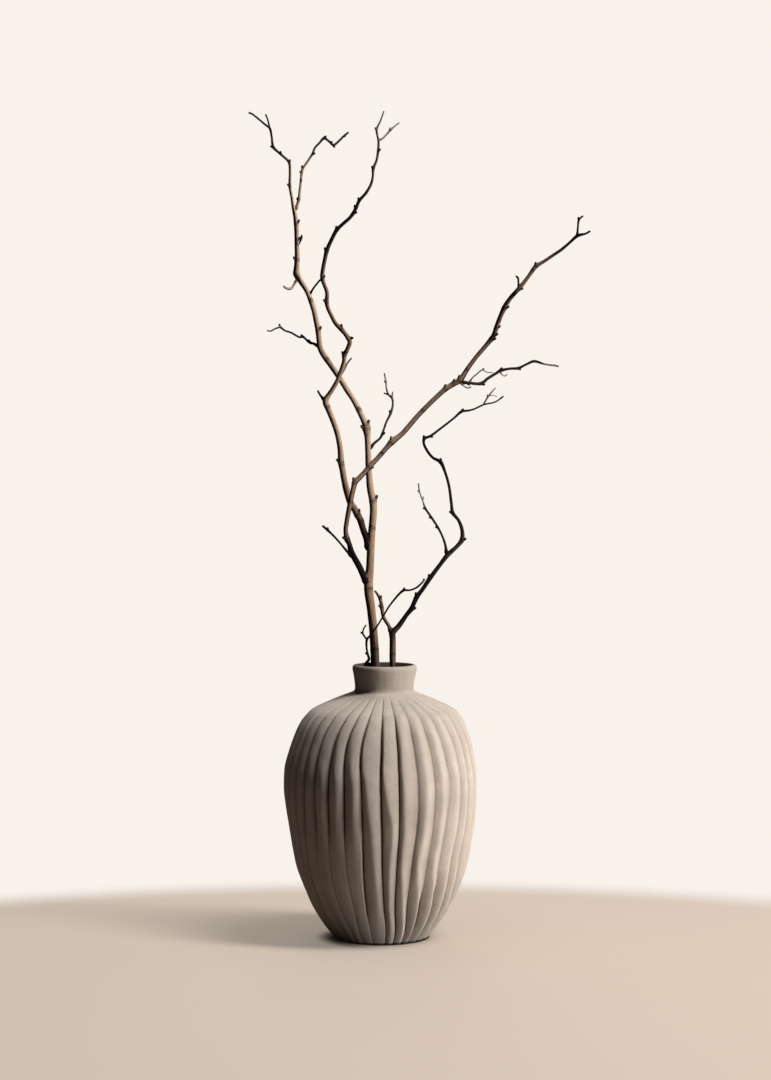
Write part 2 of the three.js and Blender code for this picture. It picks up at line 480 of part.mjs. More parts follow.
// A pointed bud that leans forward along its shoot, its root sunk in the wood.
function bud(centre, along, side, wide, share) {
  const out = side.clone().addScaledVector(along, -side.dot(along)).normalize();
  const lean = THREE.MathUtils.degToRad(BUD_LEAN);
  const axis = out.clone().multiplyScalar(Math.cos(lean)).addScaledVector(along, Math.sin(lean));
  const height = (BUD_LENGTH + BUD_LENGTH_PER_MM * wide) * share + wide / 2;
  const radius = (BUD_RADIUS + BUD_RADIUS_PER_MM * wide) * share;
  const geometry = new THREE.ConeGeometry(radius, height, BUD_SIDES);
  geometry.translate(0, height / 2, 0);
  geometry.applyQuaternion(new THREE.Quaternion().setFromUnitVectors(new THREE.Vector3(0, 1, 0), axis));
  geometry.translate(centre.x, centre.y, centre.z);
  return solidOf(geometry);
}

function branch(name, shoots, color) {
  const solids = [];
  for (const parts of shoots) {
    const rings = ringsOf(parts);
    solids.push(shoot(rings));
    for (const [across, up, depth, wide, turn] of parts.route) {
      if (turn === undefined) continue;
      const centre = seen(across, up, depth);
      const near = rings.reduce((a, b) => (
        a.centre.distanceTo(centre) < b.centre.distanceTo(centre) ? a : b));
      const angle = THREE.MathUtils.degToRad(turn);
      const side = new THREE.Vector3(Math.cos(angle), BUD_TO_VIEWER, Math.sin(angle));
      solids.push(bud(centre, near.along, side, wide, 1));
    }
    let run = SLEEPING_BUD_STEP / 2;
    let count = solids.length;
    for (let i = 1; i < rings.length - 1; i += 1) {
      run += rings[i].centre.distanceTo(rings[i - 1].centre);
      if (run < SLEEPING_BUD_STEP || rings[i].centre.z < LOWEST_BUD) continue;
      run = 0;
      count += 1;
      const side = new THREE.Vector3(0.4 * Math.sin(2.4 * count), count % 2 ? 1 : -1, 0);
      solids.push(bud(rings[i].centre, rings[i].along, side, rings[i].wide, SLEEPING_BUD_SHARE));
    }
  }
  const whole = solids.reduce((a, b) => a.add(b));
  return meshOf(name, whole, new THREE.MeshStandardMaterial({ color, roughness: 0.75, metalness: 0 }));
}

// ---------------------------------------------------------------- the arrangement

const arrangement = new THREE.Group();
arrangement.add(vase());
arrangement.add(branch('tall_branch', TALL_BRANCH, 0x6a4f3c));
arrangement.add(branch('side_branch', SIDE_BRANCH, 0x614735));
arrangement.add(branch('thin_twig', THIN_TWIG, 0x4a3528));
export default arrangement;
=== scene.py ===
"""Ikebana arrangement: a ribbed stoneware vase with bare cut branches, dressed around its CAD frame.

Lengths in the tables are millimetres, from the centre of the vase's foot; the scene itself is in metres.
"""
import json
import math
from functools import lru_cache
from itertools import count

import bmesh
import bpy
from bpy.props import FloatProperty, FloatVectorProperty, IntProperty, PointerProperty
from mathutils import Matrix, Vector, noise

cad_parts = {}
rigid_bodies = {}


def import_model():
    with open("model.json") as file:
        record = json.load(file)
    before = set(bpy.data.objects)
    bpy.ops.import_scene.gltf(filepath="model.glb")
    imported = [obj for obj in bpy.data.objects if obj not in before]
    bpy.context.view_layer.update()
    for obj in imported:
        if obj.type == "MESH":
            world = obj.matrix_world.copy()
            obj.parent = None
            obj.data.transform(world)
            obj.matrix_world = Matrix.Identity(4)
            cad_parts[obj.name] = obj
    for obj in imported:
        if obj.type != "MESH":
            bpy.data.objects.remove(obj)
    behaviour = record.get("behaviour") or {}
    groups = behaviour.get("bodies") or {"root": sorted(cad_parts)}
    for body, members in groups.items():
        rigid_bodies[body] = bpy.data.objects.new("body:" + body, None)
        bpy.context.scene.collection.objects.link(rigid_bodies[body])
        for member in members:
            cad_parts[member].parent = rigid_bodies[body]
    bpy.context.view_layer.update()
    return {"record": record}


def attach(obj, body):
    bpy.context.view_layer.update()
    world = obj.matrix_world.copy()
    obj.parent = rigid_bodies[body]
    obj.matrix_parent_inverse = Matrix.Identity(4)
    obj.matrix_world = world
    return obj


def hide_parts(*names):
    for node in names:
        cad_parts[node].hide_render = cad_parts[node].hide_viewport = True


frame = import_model()

bl_info = {
    "name": "Ikebana arrangement",
    "version": (1, 0, 0),
    "blender": (4, 5, 0),
    "location": "3D View > Sidebar > Ikebana",
    "description": "Makes a ribbed stoneware vase, the cut branches in it and a plain floor",
    "category": "Add Mesh",
}

MM = 0.001

# ---------------------------------------------------------------- the vase's drawing

RIB_COUNT = 34
RIB_TOP = 246  # the ribs run out just under the neck
INNER_FLOOR = 9
INSIDE_TOP = 274.3  # the lip keeps the outside's colour down to here; below it the inside is painted dark as shade

# Outer outline at the ribs' crests, foot to lip: (radius, height).
OUTLINE = [
    (45.4, 0), (46.8, 1), (49.4, 3), (59.8, 15.3), (70.7, 32.9), (80.3, 54.6), (87.2, 75), (94.1, 114),
    (97.6, 145), (97.2, 167), (95.4, 178.4), (90.8, 196.1), (84.6, 213), (78.2, 223.8), (70.5, 230.6),
    (51.5, 239.6), (36.5, 245.6), (31.4, 247.8), (29.9, 251.5), (31.3, 262.8), (32.8, 270.4),
    (32.3, 273.2), (30.6, 274.6),
]
LIP = [(29.6, 274.5), (28.7, 273.8), (28.0, 272.4), (27.4, 269.8), (25.4, 264.5)]
FOOT = [(44.0, 0.0), (41.0, 0.0), (38.0, 0.1), (36.6, 1.0), (30.0, 1.3), (15.0, 1.3), (0.0, 1.3)]

# The hand-built body leans a little: (height, how far its axis stands to the right).
LEAN = [(0, 0), (114, 0), (151, -1.2), (178, -1.1), (196, -0.1), (212, 0.5), (229, 1.8), (276, 3)]

# Grooves between the ribs on the front, in degrees round from the viewer, right positive: one column
# for each groove from the left (-6) to the right (6), one row for each height.
GROOVE_SPAN = 6
GROOVES = [
    (8, (-59, -52, -39.5, -29.8, -21.8, -10.2, 4, 13.8, 24.2, 33.2, 45.4, 56.5, 68)),
    (40, (-60, -54.5, -43.6, -33.4, -21.4, -12, 2, 10.5, 20, 31, 43, 54, 66)),
    (80, (-60, -54, -43.8, -33.6, -22.5, -12, 0.5, 10, 19.7, 30, 40, 50.8, 60.5)),
    (120, (-60, -52.5, -42.2, -32.5, -22.2, -11.3, 0.3, 11, 22, 32.5, 41.5, 53, 62.5)),
    (160, (-58, -49.5, -41.2, -31.5, -21.2, -10.5, 0.8, 11.5, 22.8, 34, 44.3, 54.5, 63)),
    (200, (-59, -50.3, -41.2, -31.2, -22.5, -12.3, 0.5, 10.5, 21, 32, 42, 52.5, 62)),
    (240, (-58.5, -49, -38.7, -28, -18.5, -10, -0.8, 8.5, 18.3, 28.2, 37, 46.5, 57)),
]
GROOVE_SIGHT = 1.034  # a groove is drawn as if it lay out at the crests, so it really turns further round

# Where each front rib's crest stands between its two grooves, as a share of the rib's width, from the
# rib right of groove -6 to the one right of groove 5, one row for each height.
CRESTS = [
    (8, (0.5, 0.5, 0.5, 0.5, 0.5, 0.4, 0.5, 0.62, 0.68, 0.74, 0.72, 0.65)),
    (40, (0.5, 0.5, 0.5, 0.5, 0.5, 0.66, 0.42, 0.55, 0.74, 0.78, 0.76, 0.65)),
    (80, (0.5, 0.5, 0.5, 0.5, 0.5, 0.58, 0.43, 0.22, 0.3, 0.45, 0.62, 0.48)),
    (120, (0.5, 0.5, 0.5, 0.5, 0.5, 0.41, 0.56, 0.2, 0.35, 0.45, 0.55, 0.45)),
    (160, (0.5, 0.5, 0.54, 0.5, 0.5, 0.2, 0.2, 0.17, 0.4, 0.4, 0.45, 0.45)),
    (200, (0.4, 0.4, 0.25, 0.35, 0.4, 0.14, 0.15, 0.25, 0.4, 0.4, 0.4, 0.4)),
    (240, (0.4,) * 12),
]

# Where a rib's left flank is hollowed out by the thumb up to a sharp edge: rib number -> (height, how
# much of the flank's depth).
HOLLOWS = {
    -3: [(120, 0), (150, 0.5), (190, 0.6), (215, 0)],
    -2: [(70, 0), (105, 0.35), (135, 0.8), (190, 0.6), (215, 0)],
    -1: [(25, 0), (48, 0.35), (65, 0.7), (105, 0.85), (145, 0.75), (172, 0.35), (205, 0)],
    0: [(5, 0), (40, 0.5), (80, 0.8), (130, 0.9), (150, 0.5), (172, 0)],
    1: [(5, 0.0), (45, 0.35), (80, 0.4), (170, 0.15), (200, 0)],
    2: [(5, 0.0), (50, 0.2), (90, 0)],
}

# The mesh: columns from a groove to its crest, points between two drawn ones of the outline, the step
# between rows at the foot and up the body, and how many of those points make one row on the inside.
FLANK = (0, 0.05, 0.13, 0.28, 0.52, 0.8, 1)
RIB_COLUMNS = 2 * (len(FLANK) - 1)
OUTLINE_PARTS = 24
ROW_STEPS = (0.8, 2.2)
INSIDE_EVERY = 18

# How uneven the hand left it. The line cut down a groove, as a share of the ribs' depth and of a flank's
# width, and how much the depth wanders; then, in millimetres, broad lumps, small pats of the hand,
# throwing lines on the neck and crests that rise and fall.
CUT_DEPTH, CUT_WIDTH, DEPTH_WANDER = 0.42, 0.08, 0.16
LUMP, PAT, THROWING_LINE, CREST_FALL = 0.35, 0.12, 0.10, 0.3

# ---------------------------------------------------------------- the branches' drawing

# A branch is drawn as it looks from the front and then given its depth. The drawing is seen by an eye
# out in front of the vase that looks slightly down at AIM, the drawing's centre.
EYE = Vector((4, -2900, 530))
AIM = Vector((4, 0, 399.3))
AIM_DRAWN_UP = 396.3

# Each shoot is a route of (across, up, depth, thickness): across and up as drawn, from the vase's foot,
# and depth away from the viewer. A fifth number adds a bud there: its side as drawn, in degrees from the
# right, anticlockwise. The first shoot's root stands in the vase and is plain (x, y, z, thickness).
TALL_ROOT = [(8.3, 2.3, 9.75, 9.4), (1.6, 9.4, 130, 9.2), (-5.2, 16.5, 250.7, 9)]
TALL_BRANCH = {
    "trunk": [
        (-6.4, 272.3, 18, 8.8), (-6.9, 286.3, 19, 8.7), (-8.3, 307.3, 20.2, 8.4), (-10.9, 331.3, 21.5, 8.6),
        (-12.6, 343.3, 22, 9), (-13, 354.3, 22.4, 9.2), (-11.6, 368.3, 22.8, 8), (-10.8, 386.3, 23, 7.8),
        (-9.6, 406.3, 22.8, 7.4), (-8.1, 426.3, 22.3, 7.4), (-8.7, 436.3, 22, 8, 20), (-11, 446.3, 21.6, 7),
        (-12.6, 464.3, 20.8, 6.4), (-13.5, 486.3, 19.6, 6), (-14, 498.3, 18.9, 6.2),
        (-14.9, 507.3, 18.2, 8.2, 150), (-15.6, 511.3, 17.9, 7.2, 10), (-18, 516.3, 17.4, 6.1),
        (-22.7, 526.3, 16.5, 5.8), (-28, 536.3, 15.6, 5.6), (-34.5, 546.3, 14.6, 5.8),
        (-42.5, 559.3, 13, 5.8), (-50.8, 571.3, 11.8, 5.8), (-57.8, 581.3, 10.8, 5.9),
        (-61.3, 588.3, 10.2, 5.8), (-62.5, 596.3, 9.5, 5.4), (-63.5, 606.3, 8.7, 5.6, -20),
        (-65.5, 616.3, 7.8, 5.4), (-67.7, 626.3, 7, 5.4), (-74.6, 645.3, 5.2, 5), (-81.7, 656.3, 4.2, 5.4),
        (-85, 662.3, 3.6, 7.2), (-85, 668.3, 3, 5.6), (-84.5, 676.3, 2.2, 5.2, 180),
        (-84.7, 696.3, 0, 4.8, -10), (-85.3, 713.3, -2.5, 5, 10), (-86.6, 722.3, -4, 4.4),
        (-88.3, 730.3, -5.2, 3.6), (-89.5, 738, -6.5, 3), (-91.6, 750.3, -8.5, 3, 190),
        (-91.5, 764.6, -11, 2.6), (-92.5, 774, -12.7, 2.8, 20), (-101, 782.3, -14.5, 2.5, 120),
        (-108.2, 789.3, -16, 2.8, 190), (-109.8, 799.3, -18, 2.2), (-111.8, 808, -20, 2.5),
        (-115.5, 811, -21, 2.2), (-121.5, 816, -23, 2), (-129.8, 822.5, -25, 1.9), (-133.5, 823.8, -26, 2.1),
    ],
    "trunk's second tip": [(-111.8, 808, -20, 1.9), (-113.8, 816.6, -18.6, 1.6), (-116.2, 822.6, -17, 1.7)],
    "second top shoot": [
        (-86.3, 726, -4.6, 3.2), (-82.8, 736, -3.6, 2.9, 150), (-81.8, 744.6, -2.4, 2.7),
        (-81, 751.3, -0.8, 2.6), (-80.2, 759.3, 1, 2.5), (-79.8, 763, 2, 2.6, 170),
        (-78.6, 768, 4, 2.6, 150), (-75.8, 772, 6, 2.5), (-71.8, 778, 9, 2.3), (-69, 782.3, 11, 2.5, -15),
        (-66.5, 788.6, 13, 2.2), (-62.5, 792.8, 15, 2.2), (-57.4, 798, 18, 3, 80), (-54.5, 796.6, 19.5, 2.3),
        (-51.6, 794, 20.5, 2.3, 80), (-48.2, 791.3, 22, 2.5, -80), (-41.5, 796.3, 26, 2.2),
        (-38, 800, 28.5, 2.2, 20), (-32.5, 804.3, 31, 2),
    ],
    "curled twig": [
        (-84.8, 656.8, 4, 2.4), (-87.4, 652, 1.5, 2.3), (-89.7, 648.4, -1, 2.6), (-92.6, 647.4, -3.5, 2.9),
        (-96, 648.6, -6, 2.5), (-98.6, 650.6, -8, 1.8),
    ],
    "stub": [
        (-84.6, 690, 0.6, 2), (-81.4, 694.6, 0, 1.7), (-80.2, 698.3, -0.4, 2.6), (-79.6, 702, -0.8, 1.8),
    ],
    "left twig": [
        (-62.4, 589.3, 10.2, 3.4), (-67, 592.3, 12.5, 2.6), (-71.8, 593.8, 14.4, 2.9, 110),
        (-75.5, 597, 17, 2.3), (-78.8, 599.6, 19.4, 2.6, 80), (-81.5, 599, 21, 2.1), (-90.8, 603.8, 27.5, 2),
        (-96.5, 605.7, 31, 1.9), (-101.8, 609.6, 34, 2.3, 70),
    ],
    "cross twig": [(-72.3, 641, 5.6, 2.4), (-67.8, 648.4, 3.6, 2), (-60.8, 657.2, 1.4, 2)],
    "right twig": [
        (-12.6, 487.3, 19.4, 4), (-7, 493.3, 22, 2.8), (-1.5, 498, 24, 2.5), (0.8, 502.3, 25.4, 2.9, 20),
        (2.5, 507.6, 27.5, 2.2), (4.6, 513.6, 30, 2.2), (9.3, 523.4, 35, 2.7, 200), (11.3, 531.6, 37.2, 2.1),
        (10.5, 538.3, 39, 2.5), (6.8, 542, 41.5, 2.1), (4.8, 549, 44.8, 1.8), (4.6, 554, 47, 1.9, 200),
        (2.8, 563.6, 51, 1.6),
    ],
    "right twig's fork": [(10.5, 538.3, 39, 2), (11.2, 545.3, 38, 1.4)],
    "right twig's spur": [(6.8, 542, 41.5, 1.8), (1.8, 543.3, 43, 1.4)],
    "left branch": [
        (-12.4, 386.3, 23, 6.6), (-15.2, 398.3, 23, 6.6), (-18.5, 407.3, 22.3, 6.6),
        (-21.2, 416.3, 21.2, 6.8), (-24.4, 421.9, 20.4, 7, 20), (-26.7, 426.8, 19.9, 6.8),
        (-31, 433.3, 18.8, 6.6), (-35, 446.3, 16.8, 6.8), (-37.3, 456.3, 15.3, 6.3),
        (-39.2, 467.3, 13.8, 6.2), (-40.4, 474.3, 12.9, 6.4, 175), (-41.2, 486.3, 11.2, 5.6),
        (-42.8, 496.3, 10, 5.4), (-45.2, 506.3, 8.8, 5.6), (-48.8, 516.3, 7.6, 5.6), (-53, 526.7, 6.2, 5.8),
        (-56, 535.3, 5.2, 6.4), (-52.2, 542.3, 4.6, 4.8), (-49.4, 546.4, 4, 4.6), (-43.8, 556.3, 3.2, 4.6),
        (-42, 561.3, 3, 4.6), (-40, 566, 3, 4.9), (-37.5, 575, 2.2, 4.3), (-37, 581.3, 1.4, 4.8, 170),
        (-34.5, 586.3, 0, 4.4), (-31.7, 594.3, -2, 4.6), (-33.4, 598.4, -2.8, 5.2),
        (-36.5, 602.6, -3.6, 4.4), (-40.8, 607.8, -4.4, 4.9, 70), (-45.6, 612.6, -4.9, 4.2),
        (-50.3, 621, -5.6, 4), (-54, 629.6, -6.2, 4.1), (-54.8, 634.3, -6.6, 4.3, 170),
        (-54.6, 644, -7.2, 4), (-57.2, 651.6, -7.6, 4), (-59.3, 658, -8, 4.2, 0), (-58.4, 667.6, -9.2, 4.2),
        (-56.6, 677.3, -10.8, 4.1), (-54.8, 685.3, -12.2, 4.3, 165), (-50.3, 696, -14.2, 3.8),
        (-44.5, 706.6, -16.6, 4, 140), (-39.8, 711.3, -18, 3.6), (-31.2, 719, -20.6, 3.5),
        (-28, 723.6, -21.6, 3.7, 0), (-25.6, 728, -22.8, 3.6, 150), (-22.2, 735.6, -24.6, 3.3, 150),
        (-15.5, 743.3, -27, 3), (-10.4, 752.3, -29, 2.8), (-8.6, 760, -30.4, 2.5),
        (-8.1, 767.6, -31.6, 3, 170), (-4.9, 776, -33, 2.5), (-3.3, 785.6, -34.6, 2.7, -20),
        (-3, 796, -36, 2.6), (-4.2, 801.3, -37, 2.1), (-4.8, 806.6, -38, 2.4, 160), (-0.8, 816, -40.5, 1.7),
        (2.7, 825.9, -43, 1.4),
    ],
    "left branch's snag": [(-56, 535.3, 5.2, 4), (-60.8, 540.6, 3, 2.2), (-64.2, 546.3, 0.6, 2)],
    "crossing shoot": [
        (-42, 560.6, 3, 3), (-37.5, 566.3, 5.6, 2.2), (-34.2, 573, 8.6, 1.8), (-29.5, 578.8, 12, 1.7),
    ],
    "left branch's spur": [(-33, 597.8, -2.6, 3.4), (-27.5, 598.6, -3.6, 2)],
    "left branch's second tip": [
        (-3, 796, -36, 2.2), (1.2, 798, -35, 2), (4.5, 801.3, -34, 1.9), (8.8, 806, -33, 2.3, 80),
        (13.8, 810.6, -31.6, 1.6), (18.2, 814, -30, 1.7),
    ],
    "diagonal branch": [
        (-13, 351.3, 21.8, 6.4), (-17, 358.5, 20.4, 6.6), (-22.3, 369.8, 18.6, 6.4), (-27.9, 380, 16.6, 6),
        (-30.7, 386.3, 15.6, 5.8), (-32, 391.8, 14.6, 5), (-34.4, 397.6, 13.8, 5.8, 200),
        (-35.8, 406.3, 12.4, 4.7), (-34.5, 416.3, 11, 4.9), (-32.7, 426.3, 9.6, 5.2), (-30.7, 436.3, 8, 5.3),
        (-28.3, 447.3, 6.4, 5.2), (-26.4, 454.3, 5.4, 5.8, 120), (-22.6, 458, 4.6, 5.2),
        (-17.8, 463, 3.6, 5), (-12.2, 469.6, 2, 5.4, -70), (-3.8, 478.3, -0.4, 4.8), (4.8, 488.3, -3, 5),
        (10.6, 494.6, -4.8, 6.4, 90), (20.2, 502.3, -7.6, 5.1), (38.5, 523, -13.8, 5),
        (54.6, 538.9, -19.6, 5), (64, 547.3, -22.6, 5.4, 140), (72.5, 552.6, -24.8, 5.4, 130),
        (78.2, 556, -26.8, 5.8, 100), (86.2, 567.9, -30, 4.5), (94.6, 579.2, -33.6, 4.3),
        (103, 589, -37, 4.4), (110, 597.6, -40, 5, -20), (112.4, 601.4, -41.2, 4.6, 20),
        (114.9, 609, -43, 4.6, 20), (119, 619.8, -45.8, 4.6), (123.1, 629, -49, 5.2, -30),
        (128.8, 638.1, -52, 4.4), (137.6, 647.9, -55.6, 4.5, -60), (146.2, 658.8, -58.8, 3.8),
        (154.4, 670, -62, 4.4, 110), (162, 674.6, -65.2, 3.3), (170.4, 680.2, -68.6, 3.2),
        (178.8, 685.8, -72, 3), (187.2, 692.8, -75.4, 2.7), (196.3, 700.6, -79.6, 3.3),
        (204.1, 702.6, -82, 2.1), (209.4, 705.7, -83.6, 2),
    ],
    "low left twig": [
        (-29, 379, 16.2, 3.6), (-35.4, 386, 13.6, 2.6), (-41.3, 393.1, 11.4, 2.1), (-48.8, 401.3, 8.6, 2.2),
        (-54, 406.2, 6.6, 2.6, 80), (-59.6, 411, 4, 2.4),
    ],
    "diagonal's twig": [
        (137.4, 648, -55.6, 2.6), (136.9, 653.5, -55, 2), (136.3, 658.6, -54, 2.2), (133.6, 660.6, -53, 1.5),
    ],
    "diagonal's upper tip": [
        (195.6, 700, -79.6, 2.6), (196.3, 708.3, -80.6, 2), (197.5, 716.6, -81.6, 2.2, 140),
        (202.2, 720.9, -83, 1.5),
    ],
    "right side branch": [
        (78.5, 554, -26.8, 3.6), (86, 553.6, -25, 3.1, -80), (94, 552.6, -22.6, 3.1),
        (100.2, 553, -20.4, 3.5, -60), (106, 557.6, -18.4, 2.9), (114.3, 562.8, -15.6, 2.9),
        (119, 565.6, -14, 3.3, 90), (128, 567.6, -10.8, 2.6), (136.7, 568.2, -7.8, 2.8, -60),
        (145, 572, -5, 2.4), (152.4, 575, -2.4, 2.9), (162, 572.4, 0.6, 2.1),
    ],
    "fine arched twig": [
        (88.3, 554.6, -24.4, 1.8), (91, 558.6, -25.6, 1.4), (94.6, 561.6, -27, 1.5),
        (101.3, 566.5, -29.6, 1.5, 60), (104.5, 564.4, -30.4, 1.2), (112, 563.6, -32, 1.2),
    ],
    "fine hook": [
        (78.5, 553.3, -26.8, 1.8), (82.8, 550, -28.8, 1.4), (86.2, 548.3, -30.4, 1.5),
        (90.4, 549.6, -32, 1.3),
    ],
    "fine curl": [
        (119, 565, -14, 1.8), (120.6, 561.6, -15.4, 1.3), (123.6, 560.3, -17, 1.2),
        (125.8, 562.6, -18.6, 1.3),
    ],
    "left twig's end": [
        (-101.4, 609.2, 34, 1.9), (-106.2, 607.6, 36.5, 1.8), (-111.4, 605.2, 39.5, 1.6),
        (-114.8, 606, 42, 1.8),
    ],
    "right side branch's end": [
        (161.6, 572.4, 0.5, 2), (168, 571.4, 2.4, 2), (174.6, 570.6, 4.4, 2.2), (177.8, 569.6, 5.4, 1.6),
    ],
}
SIDE_ROOT = [(11.1, -7.6, 9.55, 6.8), (11.1, -12.5, 130, 6.6), (11.1, -17.3, 250.7, 6.3)]
SIDE_BRANCH = {
    "right shoot": [
        (11.1, 271.3, -18.2, 6.3), (11.1, 285.3, -18.8, 6.2), (11.1, 298.3, -19.3, 6.2),
        (10.8, 303.3, -19.5, 6.8), (16.6, 309.6, -19.3, 5.4), (25.2, 321.6, -18.8, 4.6),
        (30, 327.7, -18.5, 5, -30), (32.6, 333.6, -18.2, 4.6), (35.6, 339.8, -17.7, 4.9, 170),
        (41.2, 347.2, -17, 4.3), (48.4, 358, -15.6, 4.6, 150), (58.2, 371.1, -13.4, 4.3),
        (66.4, 381.6, -11, 4.9), (74.8, 389.3, -8.2, 4.2), (80.3, 396.4, -6.4, 4.9, -20),
        (80.6, 406.3, -4.2, 3.8), (77, 416, -1.6, 3.4), (71.3, 423.4, 0.8, 3.8, 190), (69.8, 433.3, 3.4, 3),
        (67.6, 449.7, 7.6, 2.8), (64, 462.8, 11, 2.8), (58.9, 474.3, 14.4, 3.9, 60),
        (51.4, 478.6, 16.8, 2.8), (45.6, 485.6, 19.4, 2.8), (42.2, 493.3, 21.8, 2.7),
        (42.8, 497.6, 23, 3.4, 110), (48.7, 500.2, 24.6, 2.6, -90), (59.2, 507.9, 28, 2.3),
        (71.8, 517.7, 32, 2.2), (80.4, 524.9, 35.6, 2.9, 70), (86, 525.6, 37.4, 2.2), (92, 527, 38.6, 1.9),
        (102, 531.6, 41.6, 1.8), (113.5, 534.3, 44.8, 1.5), (122.4, 540.3, 48, 1.8),
    ],
    "left shoot": [
        (10.6, 303, -19.5, 5.2), (7.3, 310.3, -18, 3.6), (1.9, 319.6, -15.6, 3.6),
        (0.3, 329, -13.2, 3.8, 180), (-1.5, 337.6, -11, 3.4, 40), (-5.2, 343.6, -8.8, 2.4),
        (-7.4, 346, -7.6, 1.8),
    ],
    "side twig": [
        (65.2, 381.6, -11, 3.6), (63.6, 392.1, -12.4, 2.5), (60.6, 400.6, -15, 2.2),
        (56.4, 408.9, -17.6, 2.4, 170), (50, 418.8, -21.2, 2.4, 200), (44, 427.8, -24.6, 2.4, 190),
        (41.1, 435.8, -27, 1.5), (38, 444.8, -30, 1.5, 170), (36.8, 453.6, -33, 1.6),
    ],
    "side twig's fork": [(41.1, 435.8, -27, 1.6), (41.9, 440.6, -26, 1.5)],
    "upper end": [(101.9, 531.6, 41.6, 1.7), (106.6, 539.6, 39.6, 1.8, 150), (114.3, 549.1, 36.6, 1.2)],
    "upper end's spur": [(107.4, 540.4, 39.4, 1.4), (111.5, 541, 42, 1.1), (116, 539.6, 45, 1.1)],
}
THIN_ROOT = [(-6, -3.2, 9.45, 2.6), (-11, -7.4, 130, 2.5), (-15.9, -11.4, 250.7, 2.4)]
THIN_TWIG = {
    "right fork": [
        (-15.7, 272.6, -12.6, 2.9), (-12.6, 276.8, -13, 3), (-13.8, 282.3, -13.8, 2.4, 150),
        (-14.9, 288.3, -14.8, 2.1), (-14.6, 296.6, -16.4, 2.6), (-11.1, 301.2, -18, 1.9),
        (-5, 309.2, -20.4, 1.8), (2, 320.6, -23.6, 1.8), (8.8, 331.6, -24.6, 1.9),
        (22.2, 345.9, -25, 2.6, 120), (27.6, 346, -25, 1.9), (34.8, 348.6, -24.4, 2),
        (42.4, 355.3, -23.4, 1.9, 100),
    ],
    "left fork": [
        (-14.6, 296.6, -16.4, 2), (-18.7, 303, -18.4, 1.9, 180), (-17.8, 307.6, -19.6, 1.6),
        (-14.9, 311.9, -21, 1.5),
    ],
}

# What the bark tells of itself up each shoot, as (height, value) pairs. "tone" is how much old tan bark
# shows, from 0 for dark young bark to 1, and past 1 how strong a painted highlight its lit side gets; its
# low values low on the stems are partly painted shade. "pale" is how far the finest twigs are faded pale,
# "edge" how much narrower the painted dark side of the shoot is, and "rim" how much wider the painted
# dark rim on its other side is. All are 0 where nothing is listed.
TALL_BARK = {
    "tone": {
        "trunk": [
            (282, 0.34), (298, 0.44), (316, 0.7), (340, 0.82), (400, 0.95), (436, 1.35), (500, 1.5),
            (600, 1.3), (640, 1.5), (690, 1.8), (735, 1.6), (775, 0.6), (790, 0.1),
        ],
        "second top shoot": [(740, 1.3), (765, 1.0), (780, 0.4), (792, 0.05)], "curled twig": [(650, 0.8)],
        "stub": [(690, 0.05)], "right twig": [(490, 0.06), (520, 0.2), (545, 0.4), (565, 0.65)],
        "right twig's fork": [(540, 0.3)], "right twig's spur": [(540, 0.12)],
        "left branch": [
            (386, 0.02), (405, 0.04), (418, 0.25), (430, 0.6), (465, 1.2), (560, 1.2), (590, 0.9),
            (610, 0.5), (630, 0.8), (670, 0.6), (690, 0.25), (735, 0.3), (750, 0.8), (795, 0.8),
        ],
        "crossing shoot": [(570, 0.45)],
        "diagonal branch": [
            (370, 0.02), (395, 0.06), (405, 0.5), (440, 1.0), (470, 1.5), (500, 1.7), (560, 1.5), (592, 1.3),
            (602, 0.15), (612, 1.1), (636, 0.9), (643, 0.06), (648, 1.1), (676, 1.1), (682, 0.5),
            (697, 0.05),
        ],
        "right side branch": [(555, 0.1), (570, 0.02)],
    },
    "pale": {
        "curled twig": [(650, 0.6)], "stub": [(694, 0.9), (697, 0.0)],
        "right twig": [(548, 0.0), (556, 0.6)], "right twig's fork": [(540, 0.8)],
        "left branch": [(800, 0.0), (808, 0.9)], "left branch's second tip": [(800, 0.75)],
        "fine arched twig": [(560, 1.0)], "fine hook": [(550, 1.0)], "fine curl": [(560, 1.0)],
        "left twig's end": [(606, 0.8)], "right side branch's end": [(570, 0.5)],
    },
    "edge": {
        "trunk": [
            (275, -0.32), (300, -0.28), (330, -0.1), (350, 0.0), (600, 0.0), (652, -0.05), (662, -0.3),
            (670, -0.12), (770, -0.1),
        ],
        "left branch": [(600, 0.0), (625, -0.12), (790, -0.12)],
        "diagonal branch": [
            (430, 0.0), (465, 0.32), (592, 0.32), (604, 0.0), (610, -0.1), (643, -0.1), (648, 0.35),
            (676, 0.35), (684, 0.1),
        ],
    },
    "rim": {
        "diagonal branch": [(400, 0.05), (440, 0.2), (470, 0.3), (592, 0.3), (604, 0.0)],
    },
}
SIDE_BARK = {
    "tone": {
        "right shoot": [
            (297, 0.4), (306, 0.06), (312, 0.16), (318, 0.02), (345, 0.01), (375, 0.06), (398, 0.18),
            (430, 0.12), (520, 0.02),
        ],
        "left shoot": [(310, 0.6)], "side twig": [(420, 0.04), (445, 0.2)],
    },
    "pale": {
        "side twig": [(430, 0.0), (440, 0.85)], "side twig's fork": [(440, 0.85)],
        "upper end": [(532, 0.2), (540, 0.85)], "upper end's spur": [(540, 0.9)],
    },
    "edge": {
        "right shoot": [(0, -0.12)],
    },
    "rim": dict.fromkeys(SIDE_BRANCH, [(0, 0.17)]),
}

BRANCHES = {
    "tall_branch": (TALL_ROOT, TALL_BRANCH, TALL_BARK),
    "side_branch": (SIDE_ROOT, SIDE_BRANCH, SIDE_BARK),
    "thin_twig": (THIN_ROOT, THIN_TWIG, {}),
}

